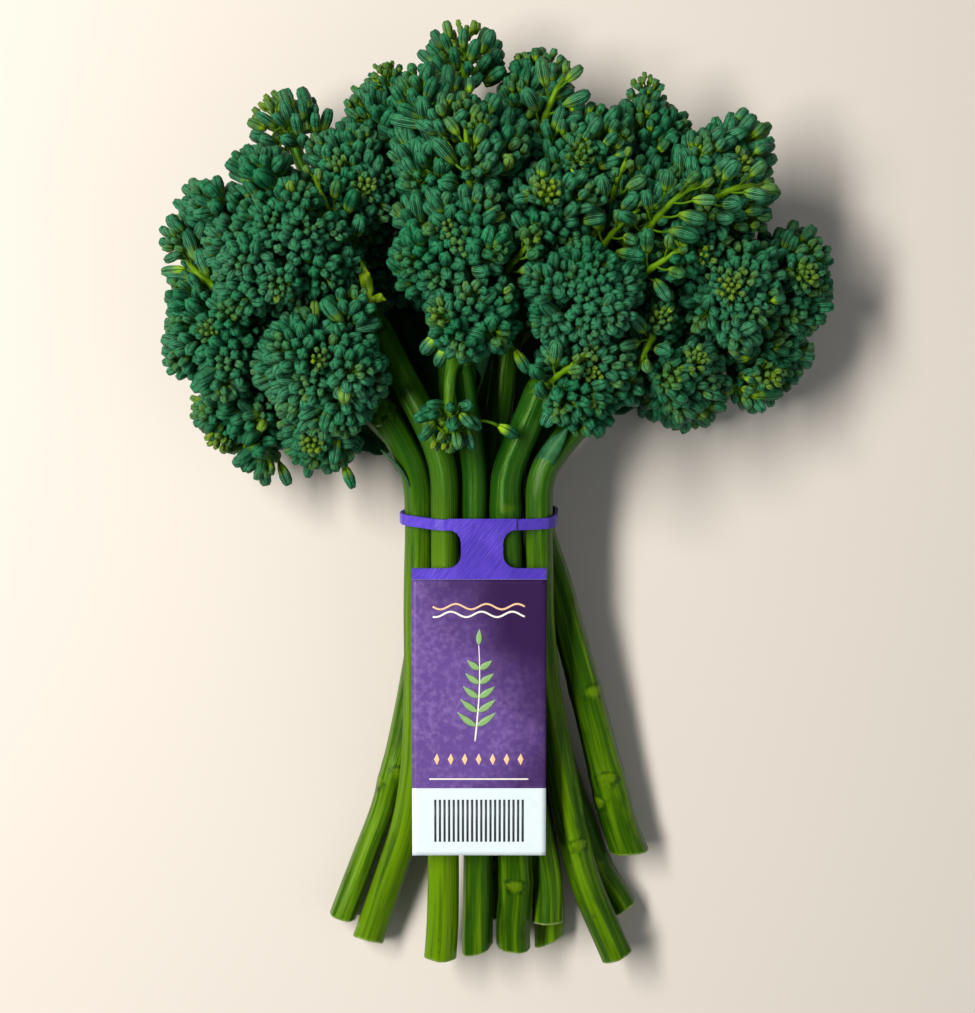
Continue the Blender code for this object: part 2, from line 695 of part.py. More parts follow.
def build_tag(stalks, collection):
    """The strap round the stems, its neck and the tag that hangs from it, as one piece of plastic."""
    pieces = new_collection("pieces_tag")
    rise = Vector((0, -STRAP_LEAN, 1)).normalized()
    width_way = Vector((0, 1, STRAP_LEAN)).normalized()
    origin = Vector((0, STRAP_Y + STRAP_LEAN * STRAP_TOP, 0))
    outline = strap_line(stalks)
    work = bmesh.new()
    rows = []
    for side in (-0.5, 0.5):
        edge = origin + width_way * side * STRAP_WIDTH
        rows.append([work.verts.new((edge + Vector((p.x, 0, 0)) + rise * p.y) * MM) for p in outline])
    for k in range(len(outline)):
        n = (k + 1) % len(outline)
        work.faces.new([rows[0][n], rows[0][k], rows[1][k], rows[1][n]])
    mesh = bpy.data.meshes.new("strap")
    work.to_mesh(mesh)
    work.free()
    strap = link(bpy.data.objects.new("strap", mesh), pieces)
    wall = strap.modifiers.new("wall", "SOLIDIFY")
    wall.thickness = PLASTIC * MM
    wall.offset = 1
    wall.use_even_offset = True

    down, up, normal, start = tag_plane(stalks, outline)
    plate = bpy.data.curves.new("plate", "CURVE")
    plate.dimensions = "2D"
    plate.fill_mode = "BOTH"
    plate.extrude = PLASTIC / 2 * MM
    spline = plate.splines.new("POLY")
    corners = tag_outline()
    spline.points.add(len(corners) - 1)
    for point, (across, along) in zip(spline.points, corners):
        point.co = (across * MM, -along * MM, 0, 1)
    spline.use_cyclic_u = True
    guide = link(bpy.data.objects.new("plate_line", plate), pieces)
    mesh = evaluated_mesh(guide)
    bpy.data.objects.remove(guide)
    work = bmesh.new()
    work.from_mesh(mesh)
    bmesh.ops.remove_doubles(work, verts=work.verts, dist=1e-7)
    bmesh.ops.recalc_face_normals(work, faces=work.faces)
    work.to_mesh(mesh)
    work.free()
    frame = Matrix((Vector((1, 0, 0)), up, normal)).transposed().to_4x4()
    lift = start + normal * PLASTIC / 2
    mesh.transform(Matrix.Translation(lift * MM) @ frame)
    link(bpy.data.objects.new("plate", mesh), pieces)
    tag = joined("tag", pieces, collection)
    paint(tag, "tag")

    bpy.ops.mesh.primitive_cube_add(size=1)
    label = bpy.context.object
    label.name = "label"
    for c in list(label.users_collection):
        c.objects.unlink(label)
    link(label, collection)
    length = TAG_LENGTH - LABEL_MARGIN
    middle = STRAP_WIDTH / 2 + NECK_LENGTH + LABEL_MARGIN + length / 2
    at = start + down * middle + normal * (PLASTIC + GAP + LABEL_THICKNESS / 2) + Vector((TAG_X, 0, 0))
    label.data.transform(Matrix.Diagonal((TAG_WIDTH * MM, length * MM, LABEL_THICKNESS * MM, 1)))
    label.data.transform(Matrix.Translation(at * MM) @ frame)
    paint(label, "label")


def tag_outline():
    """(across, along) of the tag's edge, from the strap down: a bar, a filleted neck and the tag."""
    half_strap = STRAP_WIDTH / 2
    foot = half_strap + NECK_LENGTH
    half_neck = NECK_WIDTH / 2
    centre_across = half_neck + NECK_FILLET
    turns = [math.radians(a) for a in (0, 22.5, 45, 67.5, 90)]
    rounded = [(NECK_FILLET * math.sin(a), NECK_FILLET * (1 - math.cos(a))) for a in turns]
    right = [(centre_across, -half_strap)]
    right += [(centre_across - inward, half_strap + down) for inward, down in rounded]
    right += [(centre_across - NECK_FILLET + down, foot - NECK_FILLET + inward) for inward, down in rounded]
    edge = [(NECK_X + x, y) for x, y in right]
    edge += [(TAG_X + TAG_WIDTH / 2, foot), (TAG_X + TAG_WIDTH / 2, foot + TAG_LENGTH)]
    edge += [(TAG_X - TAG_WIDTH / 2, foot + TAG_LENGTH), (TAG_X - TAG_WIDTH / 2, foot)]
    return edge + [(NECK_X - x, y) for x, y in reversed(right)]


def tag_plane(stalks, outline):
    """Down, up and outward directions of the flat tag, and its start.

    It hangs as steeply as the stems under it let it.
    """
    top = max(p.y for p in outline) / math.hypot(1, STRAP_LEAN) + 0.1
    slope = math.inf
    for s in stalks.values():
        line, radii = built_stem(s, 200)
        under = np.abs(line[:, 0] - TAG_X) < TAG_WIDTH / 2 + radii
        under &= (line[:, 1] < STRAP_Y - 4) & (line[:, 1] > STRAP_Y - NECK_LENGTH - TAG_LENGTH - 6)
        for at, r in zip(line[under], radii[under]):
            slope = min(slope, (top - at[2] - r - 2 * GAP) / (STRAP_Y - at[1]))
    down = Vector((0, -1, -slope)).normalized()
    up = -down
    normal = Vector((0, -slope, 1)).normalized()
    print(f"tag slopes {math.degrees(math.atan(slope)):.1f} degrees from {top:.1f} mm")
    return down, up, normal, Vector((0, STRAP_Y, top))


def main():
    for obj in list(bpy.data.objects):
        bpy.data.objects.remove(obj)
    bunch = new_collection("broccolini_bunch")
    stalks = {name: plan_stalk(spec) for name, spec in STALKS.items()}
    settle(stalks)
    for name, stalk in stalks.items():
        build_stem(name, stalk, bunch)
        build_head(name, stalks, bunch)
    build_tag(stalks, bunch)
    for obj in bunch.objects:
        obj.data.transform(Matrix.Translation((-MIDDLE[0] * MM, -MIDDLE[1] * MM, 0)))


main()
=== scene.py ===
# A bunch of broccolini lying on a pale surface, seen from above: ridged stems, branches, pedicels and buds.
# Lengths in the dictionaries are millimetres on the bunch's plan: X across, Y towards the heads, Z up.
import math

import bpy
import numpy as np
from mathutils import Matrix, Vector


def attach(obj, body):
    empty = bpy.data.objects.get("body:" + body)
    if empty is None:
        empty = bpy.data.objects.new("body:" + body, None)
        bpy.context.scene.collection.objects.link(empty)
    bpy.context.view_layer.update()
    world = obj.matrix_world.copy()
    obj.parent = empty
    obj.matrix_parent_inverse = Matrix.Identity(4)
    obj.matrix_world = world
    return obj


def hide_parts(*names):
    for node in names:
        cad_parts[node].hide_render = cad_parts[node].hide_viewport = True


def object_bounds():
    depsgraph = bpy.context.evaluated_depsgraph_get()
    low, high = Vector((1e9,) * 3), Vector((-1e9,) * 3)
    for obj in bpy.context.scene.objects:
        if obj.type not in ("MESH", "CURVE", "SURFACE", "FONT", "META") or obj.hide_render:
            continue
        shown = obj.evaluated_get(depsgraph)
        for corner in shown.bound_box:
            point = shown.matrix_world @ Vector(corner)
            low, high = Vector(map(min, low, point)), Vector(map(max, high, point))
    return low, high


mm = 0.001
planMiddle = np.array([3.2, 2.2, 0.0])  # the plan's point that lies over the model's origin
goldenAngle = math.pi * (3.0 - math.sqrt(5.0))
anyTurn = 6.28  # random turns are drawn from 0 to this, all but a full one
skyWay = np.array([0.0, 0.0, 1.0])

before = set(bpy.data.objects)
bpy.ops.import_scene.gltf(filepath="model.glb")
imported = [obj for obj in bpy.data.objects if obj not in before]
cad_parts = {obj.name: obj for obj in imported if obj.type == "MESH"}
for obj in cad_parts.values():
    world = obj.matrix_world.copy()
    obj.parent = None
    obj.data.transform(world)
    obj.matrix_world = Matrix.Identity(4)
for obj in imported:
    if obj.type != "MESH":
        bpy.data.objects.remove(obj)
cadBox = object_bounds()
print("frame loaded:", len(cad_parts), "solids")

cameraPlan = {"height": 450.0, "pixelWidth": 0.275, "imageWidth": 975, "nearest": 0.01}


def addObject(name, data):
    made = bpy.data.objects.new(name, data)
    bpy.context.scene.collection.objects.link(made)
    return made


def addCamera(plan):
    lens = bpy.data.cameras.new("camera")
    lens.sensor_fit = "HORIZONTAL"
    lens.angle = 2 * math.atan(plan["imageWidth"] * plan["pixelWidth"] / 2 / plan["height"])
    lens.clip_start = plan["nearest"]
    camera = addObject("camera", lens)
    camera.location = (-planMiddle[0] * mm, -planMiddle[1] * mm, plan["height"] * mm)
    bpy.context.scene.camera = camera


addCamera(cameraPlan)

# The stalks as the solids have them. Florets are (x, y, z, radius, facing). A spray is an open floret.
stalkPlan = {
    "01": {
        "path": [(-39.5, -112, 4.3), (-33, -96, 5.2), (-27.0, -79, 6.8), (-20, -48, 10.5)],
        "strapAt": (-14.5, 16.5), "above": (-19, 12, 18), "crown": (-36, 31, 20), "radii": (3.7, 3.4, 3.6),
        "florets": [(-69, 46, 27, 17.0, (-0.6, 0.0, 0.8)), (-71, 72, 20, 15.0, (-0.8, 0.4, 0.5)),
                    (-56, 44, 11, 13.5, (-0.4, -0.3, -0.6)), (-50, 71, 11.5, 14.0, (-0.2, 0.6, -0.6))],
    },
    "02": {
        "path": [(-33.0, -119, 5.2), (-26.5, -98, 8.0), (-21.0, -79, 11.5), (-17.5, -48, 17.5)],
        "strapAt": (-16.0, 23.5), "above": (-17.5, 8, 26), "crown": (-25, 22.5, 29), "radii": (4.1, 3.6, 3.7),
        "florets": [(-41, 35, 37, 17.5, (0.15, -0.1, 1.0)), (-64, 25, 17, 14.0, (-0.5, -0.6, 0.3)),
                    (-44, 21, 23, 12.5, (0.1, -0.8, 0.35))],
    },
    "03": {
        "path": [(-12.7, -120.5, 12.5), (-10.8, -98, 15.5), (-10.4, -50, 20.5)],
        "strapAt": (-10.0, 26.5), "above": (-13, 14, 29.5), "crown": (-27, 43, 30), "radii": (4.4, 3.6, 3.8),
        "florets": [(-52, 67, 36, 20.0, (-0.15, 0.05, 1.0)), (-34, 83, 32, 15.0, (0.1, 0.3, 0.9))],
        "sprays": [(-51.5, 97, 24, 13.0, (-0.2, 0.9, 0.3))],
    },
    "04": {
        "path": [(15.5, -111, 12.0), (15.0, -94, 12.0), (8.0, -50, 14.5)],
        "strapAt": (-6.5, 19.5), "above": (-9, 28, 22), "crown": (-9.5, 56, 27), "radii": (4.0, 3.5, 3.6),
        "florets": [(-6.5, 89, 36, 20.0, (0.1, 0.25, 0.95)), (-23, 96, 25, 15.0, (-0.5, 0.6, 0.5)),
                    (-12, 93, 13, 13.5, (-0.2, 0.6, -0.4))],
        "sprays": [(-6, 114, 27, 13.0, (0.0, 0.95, 0.35))],
    },
    "05": {
        "path": [(-2.4, -119.5, 12.5), (-3.4, -96, 15.5), (-3.6, -50, 20.5)],
        "strapAt": (-3.2, 27.0), "above": (-4, 14, 30), "crown": (-6.5, 34, 34), "radii": (4.3, 3.2, 3.3),
        "florets": [(-8, 66, 42, 16.5, (-0.1, 0.1, 1.0)), (-3.5, 48, 43, 13.0, (0.1, -0.3, 1.0))],
        "sprays": [(-9.5, 21, 40, 9.5, (-0.3, -0.7, 0.6))],
    },
    "06": {
        "path": [(6.8, -118, 13.0), (9.0, -98, 16.0), (7.5, -50, 20.5)],
        "strapAt": (4.0, 26.8), "above": (7, 12, 29), "crown": (13.0, 28, 32), "radii": (4.4, 3.9, 3.9),
        "florets": [(23.5, 52, 42, 15.5, (0.1, 0.1, 1.0)), (25, 34, 37, 14.0, (0.15, -0.35, 0.9))],
    },
    "07": {
        "path": [(16.8, -120, 4.2), (15.5, -98, 4.6), (8.0, -50, 8.5)],
        "strapAt": (0.8, 20.0), "above": (4, 30, 21), "crown": (8, 58, 25), "radii": (4.0, 3.4, 3.5),
        "florets": [(24, 90, 32, 16.5, (0.3, 0.5, 0.8)), (14, 74, 40, 15.5, (0.1, 0.1, 1.0)),
                    (12, 104, 22, 14.0, (0.1, 0.9, 0.3)), (16, 88, 13, 13.0, (0.0, 0.5, -0.4))],
    },
    "08": {
        "path": [(38.0, -95, 7.5), (30.5, -66, 10.5), (22.5, -36, 15.0)],
        "strapAt": (13.2, 19.5), "above": (16, 18, 22), "crown": (33, 53, 27), "radii": (4.9, 3.6, 3.6),
        "florets": [(59, 84, 31, 17.0, (0.5, 0.4, 0.8)), (39, 94, 26, 15.0, (0.0, 0.7, 0.6)),
                    (43, 77, 34, 13.5, (0.0, 0.1, 1.0)), (50, 84, 11.5, 14.0, (0.3, 0.6, -0.6))],
    },
    "09": {
        "path": [(37.4, -110, 4.5), (28.0, -91, 5.5), (19.0, -66, 7.0), (11.5, -36, 10.0)],
        "strapAt": (6.6, 13.5), "above": (16, 16, 14), "crown": (42, 38, 18), "radii": (4.2, 3.4, 3.5),
        "florets": [(76, 58, 23, 16.0, (0.8, 0.2, 0.5)), (62, 54, 34, 15.5, (0.2, 0.0, 1.0)),
                    (51, 66, 37, 12.5, (0.0, 0.1, 1.0)), (60, 57, 11, 13.5, (0.3, 0.1, -0.7))],
    },
    "10": {
        "path": [(34.7, -120.3, 12.2), (26.5, -101, 13.2), (19.0, -79, 14.8), (13.5, -40, 19.5)],
        "strapAt": (10.8, 25.8), "above": (14, 10, 27.5), "crown": (26, 25, 28), "radii": (4.3, 3.5, 3.5),
        "florets": [(51, 34, 27, 13.5, (0.1, -0.5, 0.9)), (43, 46, 28, 11.5, (0.0, 0.0, 1.0)),
                    (72, 40, 19, 14.0, (0.6, -0.6, 0.4)), (48, 39, 12, 12.0, (0.0, -0.5, -0.4))],
    },
    "11": {
        "path": [(3.0, -112, 4.4), (2.6, -96, 4.8), (-1.5, -50, 7.5)],
        "strapAt": (-4.0, 12.8), "above": (-2, 18, 11), "crown": (3, 36, 10.5), "radii": (3.8, 3.3, 3.4),
        "florets": [(-22, 66, 11.5, 14.5, (-0.3, 0.3, -0.6)), (3, 62, 11.5, 14.0, (0.0, 0.4, -0.6)),
                    (28, 60, 11.5, 14.5, (0.3, 0.3, -0.6))],
    },
}

settleRules = {
    "strapY": -4.5, "step": 3.0, "stations": 12, "rounds": 500, "eased": 0.8, "gap": 0.3, "spare": 0.7,
    "firm": 0.62, "crownLength": 5.0, "fork": 0.7, "branchStations": 9, "forward": (0.12, 0.42), "sideways": 0.35,
    "branchRadius": 1.3, "perFloret": 0.06, "branchEnd": 0.75, "offFloor": 0.15, "settled": 0.02,
}


def unit(v):
    return v / np.maximum(np.linalg.norm(v, axis=-1, keepdims=True), 1e-9)


def between(low, high, share):
    return low + (high - low) * share


# An S from 0 to 1 between two values.
def smooth(value, low, high):
    t = np.clip((value - low) / (high - low), 0, 1)
    return t * t * (3 - 2 * t)


# The same line with its points at even distances.
def evenPoints(points, count):
    run = np.concatenate([[0], np.cumsum(np.linalg.norm(np.diff(points, axis=0), axis=1))])
    at = np.linspace(0, run[-1], count)
    return np.stack([np.interp(at, run, points[:, k]) for k in range(3)], axis=1)


def evenValues(values, count):
    return np.interp(np.linspace(0, 1, count), np.linspace(0, 1, len(values)), values)


def pathLength(points):
    return float(np.linalg.norm(np.diff(points, axis=0), axis=1).sum())


def headingOf(line):
    return unit(np.gradient(line, axis=0))


# Catmull-Rom: each span is a cubic of its two ends and their outer neighbours.
def smoothPath(points, step, perSpan=24):
    p = np.array(points, float)
    p = np.vstack([2 * p[0] - p[1], p, 2 * p[-1] - p[-2]])
    t = np.linspace(0, 1, perSpan, endpoint=False)[:, None]
    spans = [
        0.5 * (2 * b + (c - a) * t + (2 * a - 5 * b + 4 * c - d) * t**2 + (3 * b - a - 3 * c + d) * t**3)
        for a, b, c, d in zip(p[:-3], p[1:-2], p[2:-1], p[3:])
    ]
    fine = np.vstack([*spans, p[-2]])
    return evenPoints(fine, max(2, round(pathLength(fine) / step)) + 1)


# Quadratic curves, one for each start, bend and end.
def bentLines(starts, bends, ends, stations):
    t = np.linspace(0, 1, stations)[None, :, None]
    return (1 - t) ** 2 * starts[:, None] + 2 * t * (1 - t) * bends[:, None] + t**2 * ends[:, None]


def planStalk(spec):
    x, z = spec["strapAt"]
    points = [*spec["path"], (x, settleRules["strapY"], z), spec["above"], spec["crown"]]
    line = smoothPath(points, settleRules["step"])
    strapShare = np.argmin(np.abs(line[:, 1] - settleRules["strapY"])) / (len(line) - 1)
    radii = np.interp(np.linspace(0, 1, len(line)), [0, strapShare, 1], spec["radii"])
    florets = [(*f, False) for f in spec["florets"]] + [(*f, True) for f in spec.get("sprays", [])]
    return {"line": line, "radii": radii, "centres": np.array([f[:3] for f in florets], float), "florets": florets}


# The foot, top and direction of the short crown on which a stalk's branches stand.
def crownOf(stalk):
    last = evenPoints(stalk["line"], settleRules["stations"])[-2:]
    heading = unit(last[1] - last[0])
    return last[1] + heading * settleRules["gap"], last[1] + heading * settleRules["crownLength"], heading


# Each branch is a quadratic curve that leaves the crown along the stem and ends in its floret's middle.
def branchesOf(stalk, count=settleRules["branchStations"]):
    rules = settleRules
    foot, top, heading = crownOf(stalk)
    start = (1 - rules["fork"]) * foot + rules["fork"] * top
    found = []
    for centre, floret in zip(stalk["centres"], stalk["florets"]):
        far = np.linalg.norm(centre - start)
        way = unit(centre - start)
        ahead = max(0.0, float(way @ heading))
        side = unit(way - heading * (way @ heading))
        onward = heading * between(*rules["forward"], ahead)
        bend = start + (onward + side * rules["sideways"] * (1 - ahead)) * far
        line = bentLines(start[None], bend[None], centre[None], count)[0]
        thick = rules["branchRadius"] + rules["perFloret"] * floret[3]
        found.append((line, np.linspace(thick, rules["branchEnd"] * thick, count)))
    return found


def crownBall(stalk):
    foot, top, heading = crownOf(stalk)
    return (top - heading)[None, :], np.array([0.9 * stalk["radii"][-1]])


# Presses the stalks apart as the solids were, each as a string of balls that push each other.
def settle(stalks):
    rules, stations = settleRules, settleRules["branchStations"]
    share = np.linspace(0, 1, stations)[None, :, None]
    for turn in range(rules["rounds"]):
        strings, owner = [], []
        for k, s in enumerate(stalks.values()):
            cores = np.array([rules["firm"] * f[3] for f in s["florets"]])
            mine = [(s["line"], s["radii"]), crownBall(s), *branchesOf(s), (s["centres"], cores)]
            strings += mine
            owner += [k] * sum(len(radii) for _, radii in mine)
        at, r = (np.concatenate(values) for values in zip(*strings))
        owner = np.array(owner)
        apart = at[:, None] - at[None, :]
        distance = np.linalg.norm(apart, axis=2)
        depth = np.maximum(r[:, None] + r[None, :] + rules["gap"] + rules["spare"] - distance, 0)
        depth[owner[:, None] == owner[None, :]] = 0
        push = (apart / np.maximum(distance, 1e-6)[:, :, None] * depth[:, :, None] * 0.5).sum(1)
        push /= np.maximum((depth > 0).sum(1), 1)[:, None]
        start = 0
        for s in stalks.values():
            n, m = len(s["line"]), len(s["centres"])
            move, crownMove = push[start:start + n].copy(), push[start + n]
            start += n + 1
            branches = push[start:start + stations * m].reshape(m, stations, 3)
            start += stations * m
            s["centres"] += 0.5 * (branches * share).sum(1) + push[start:start + m]
            start += m
            move[-1] += crownMove
            move[-1] += 0.5 * (branches * (1 - share)).sum((0, 1))
            if turn < rules["rounds"] * rules["eased"]:
                for _ in range(3):
                    move[1:-1] = 0.25 * move[:-2] + 0.5 * move[1:-1] + 0.25 * move[2:]
            s["line"] += move
            s["line"][:, 2] = np.maximum(s["line"][:, 2], s["radii"] + rules["offFloor"])
        if depth.max() < rules["settled"]:
            break
    return turn + 1


stalks = {name: planStalk(spec) for name, spec in stalkPlan.items()}
print("stalks settled in", settle(stalks), "rounds")


# Planes that keep a floret to its own room: one between it and each floret it meets, and one before each stem.
def roomRound(name, j, stalks, spread):
    stalk = stalks[name]
    centre, radius = stalk["centres"][j], stalk["florets"][j][3]
    ways, offsets = [-skyWay], [centre[2]]
    for other, s in stalks.items():
        for k, (c, f) in enumerate(zip(s["centres"], s["florets"])):
            far = np.linalg.norm(c - centre)
            if (other, k) != (name, j) and far < spread * (radius + f[3]):
                ways.append((c - centre) / far)
                offsets.append((far**2 + radius**2 - f[3]**2) / (2 * far))
        at, r = evenPoints(s["line"], 60), evenValues(s["radii"], 60)
        far = np.linalg.norm(at - centre, axis=1)
        near = far - r < spread * radius
        ways += list((at[near] - centre) / far[near, None])
        offsets += list((far - r)[near])
    return np.array(ways), np.array(offsets)


# How far one may go along each direction: to the nearest of the planes, and no further than a limit. Planes
# that lie almost along a direction don't count.
def reachAlong(directions, limit, room, edgeOn=0.02):
    ways, offsets = room
    toward = directions @ ways.T
    reach = np.where(toward > edgeOn, offsets / np.maximum(toward, edgeOn), np.inf).min(1)
    return np.clip(reach, 0.0, limit)


# Quads between rings that follow one another, as point numbers, a row for each gap between two rings.
def ringQuads(rings, sides):
    row, column = np.arange(rings - 1)[:, None] * sides, np.arange(sides)
    following = (column + 1) % sides
    return np.stack([row + column, row + sides + column, row + sides + following, row + following], axis=-1)


# The uv of those quads: u at the edges between their columns, v at the rings.
def ringUv(u, v):
    uv = np.zeros((len(v) - 1, len(u) - 1, 4, 2))
    uv[..., 0] = np.stack([u[:-1], u[:-1], u[1:], u[1:]], axis=-1)
    uv[..., 1] = np.stack([v[:-1], v[1:], v[1:], v[:-1]], axis=-1)[:, None]
    return uv


# The same faces on each of many copies, whose points follow one another.
def repeated(faces, many, each):
    shift = (np.arange(many) * each)[:, None, None]
    made = []
    for part, uv, soft in faces:
        part = part.reshape(-1, part.shape[-1])
        copies = (part + shift).reshape(-1, part.shape[1])
        made.append((copies, np.tile(uv.reshape(*part.shape, 2), (many, 1, 1)), soft))
    return made


# Carries a closed profile along each of many lines. A point is the line's point, plus the side direction
# times the half width times the cosine of its angle, plus the lift direction times the half height times
# its sine. The side is square to the line and to the reference direction.
def carry(lines, halfWide, halfHigh, sides, reference, tone=(0.5, 0.0, 0.0), lengthwise=None,
          startAngle=-math.pi / 2):
    many, stations = lines.shape[:2]
    heading = unit(np.gradient(lines, axis=1))
    side = unit(np.cross(heading, reference))
    lift = np.cross(side, heading)
    angle = startAngle + 2 * math.pi * np.arange(sides) / sides
    across = np.broadcast_to(halfWide, (many, stations, sides)) * np.cos(angle)
    upward = np.broadcast_to(halfHigh, (many, stations, sides)) * np.sin(angle)
    points = lines[:, :, None] + across[..., None] * side[:, :, None] + upward[..., None] * lift[:, :, None]
    v = np.linspace(0, 1, stations) if lengthwise is None else lengthwise
    ring = np.arange(sides)[None]
    faces = [
        (ringQuads(stations, sides), ringUv(np.arange(sides + 1) / sides, v), True),
        (ring, np.full((1, sides, 2), (0.5, v[0])), False),
        (ring[:, ::-1] + (stations - 1) * sides, np.full((1, sides, 2), (0.5, v[-1])), False),
    ]
    each = stations * sides
    tones = np.repeat(np.broadcast_to(tone, (many, 3)), each, axis=0)
    return {"points": points.reshape(-1, 3), "faces": repeated(faces, many, each), "tone": tones}


# A round tube along each line. The radius is a number for each station, or one for each station and side.
def tube(lines, radius, sides, reference, tone, lengthwise=None):
    return carry(lines, radius, radius, sides, reference, tone, lengthwise)


# Joins shapes as one mesh. Each has points, its tones, faces with their uv and whether they are smooth, and a
# look (material slot), which a set of faces can have for itself.
def addPiece(name, shapes, materials, nodes=()):
    points = np.vstack([s["points"] for s in shapes])
    starts = np.cumsum([0] + [len(s["points"]) for s in shapes])
    corners, sizes, uvs, looks, smooths = [], [], [], [], []
    for shape, start in zip(shapes, starts):
        for faces, uv, soft, *look in shape["faces"]:
            corners.append((faces + start).ravel())
            sizes.append(np.full(len(faces), faces.shape[1]))
            uvs.append(np.asarray(uv, float).reshape(-1, 2))
            looks.append(np.full(len(faces), look[0] if look else shape.get("look", 0)))
            smooths.append(np.full(len(faces), soft))
    tones = [np.broadcast_to(s["tone"], (len(s["points"]), 3)) for s in shapes]
    sizes = np.concatenate(sizes)
    mesh = bpy.data.meshes.new(name)
    mesh.vertices.add(len(points))
    mesh.vertices.foreach_set("co", ((points - planMiddle) * mm).astype(np.float32).ravel())
    mesh.loops.add(int(sizes.sum()))
    mesh.loops.foreach_set("vertex_index", np.concatenate(corners).astype(np.int32))
    mesh.polygons.add(len(sizes))
    mesh.polygons.foreach_set("loop_start", np.concatenate([[0], np.cumsum(sizes)[:-1]]).astype(np.int32))
    mesh.polygons.foreach_set("material_index", np.concatenate(looks).astype(np.int32))
    mesh.update(calc_edges=True)
    mesh.polygons.foreach_set("use_smooth", np.concatenate(smooths))
    mesh.uv_layers.new(name="UVMap").data.foreach_set("uv", np.vstack(uvs).astype(np.float32).ravel())
    rgba = np.hstack([np.vstack(tones), np.ones((len(points), 1))])
    tone = mesh.color_attributes.new("tone", "FLOAT_COLOR", "POINT")
    tone.data.foreach_set("color", rgba.astype(np.float32).ravel())
    for material in materials:
        mesh.materials.append(material)
    piece = addObject(name, mesh)
    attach(piece, "root")
    if nodes:
        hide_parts(*nodes)
    return piece


# Adds a node and gives one of its outputs. An input is a number, a colour or another node's output.
def addNode(tree, kind, inputs=(), output=0, **settings):
    node = tree.nodes.new(kind)
    for key, value in settings.items():
        setattr(node, key, value)
    for key, value in dict(inputs).items():
        if isinstance(value, Wire):
            tree.links.new(value.socket, node.inputs[key])
        else:
            node.inputs[key].default_value = value
    return Wire(node.outputs[output])


# A node's output. Its sums, differences and products are Math nodes.
class Wire:
    def __init__(self, socket):
        self.socket = socket
        self.tree = socket.id_data

    def calc(self, operation, other=0.0):
        return addNode(self.tree, "ShaderNodeMath", {0: self, 1: other}, operation=operation)

    def __add__(self, other):
        return self.calc("ADD", other)

    def __sub__(self, other):
        return self.calc("SUBTRACT", other)

    def __rsub__(self, other):
        return addNode(self.tree, "ShaderNodeMath", {0: other, 1: self}, operation="SUBTRACT")

    def __mul__(self, other):
        return self.calc("MULTIPLY", other)

    # 0 below low, 1 above high, and an even S between.
    def ease(self, low, high):
        inputs = {"Value": self, "From Min": low, "From Max": high}
        return addNode(self.tree, "ShaderNodeMapRange", inputs, interpolation_type="SMOOTHSTEP")

    def noise(self, scale, detail=2.0):
        inputs = {"Vector": self, "Scale": scale, "Detail": detail, "Roughness": 0.5}
        return addNode(self.tree, "ShaderNodeTexNoise", inputs, "Fac")

    def mapped(self, **inputs):
        return addNode(self.tree, "ShaderNodeMapping", {"Vector": self, **inputs})

    def parts(self, kind="XYZ"):
        first = addNode(self.tree, "ShaderNodeSeparate" + kind, {0: self})
        return [Wire(socket) for socket in first.socket.node.outputs]


# A material in the making. It starts as a blend of two of its colours, and others cover that by an amount.
class Skin:
    def __init__(self, name, colours, roughness, **sockets):
        self.material = bpy.data.materials.new(name)
        self.material.use_nodes = True
        self.tree = self.material.node_tree
        self.shader = self.tree.nodes["Principled BSDF"]
        self.colours = colours
        for socket, value in {"Roughness": roughness, **sockets}.items():
            self.shader.inputs[socket.replace("_", " ")].default_value = value

    def place(self):
        return addNode(self.tree, "ShaderNodeTexCoord", output="Object")

    def uv(self):
        return addNode(self.tree, "ShaderNodeUVMap", uv_map="UVMap")

    def tone(self):
        return addNode(self.tree, "ShaderNodeAttribute", output="Color", attribute_name="tone").parts("Color")

    def blend(self, a, b, amount):
        a, b = (c if isinstance(c, Wire) else (*self.colours[c], 1) for c in (a, b))
        return addNode(self.tree, "ShaderNodeMix", {"Factor": amount, 6: a, 7: b}, 2, data_type="RGBA")

    def start(self, a, b, amount):
        self.colour = self.blend(a, b, amount)

    def cover(self, over, amount):
        self.colour = self.blend(self.colour, over, amount)

    def finish(self, height=None, strength=0.0, distance=0.0):
        self.tree.links.new(self.colour.socket, self.shader.inputs["Base Color"])
        if height is not None:
            inputs = {"Height": height, "Strength": strength, "Distance": distance}
            bump = addNode(self.tree, "ShaderNodeBump", inputs)
            self.tree.links.new(bump.socket, self.shader.inputs["Normal"])
        return self.material


budColours = {
    "deep": (0.001, 0.050, 0.016), "bloom": (0.020, 0.220, 0.090), "vein": (0.165, 0.400, 0.250),
    "seam": (0.000, 0.016, 0.004), "foot": (0.270, 0.500, 0.003), "young": (0.230, 0.345, 0.004),
}


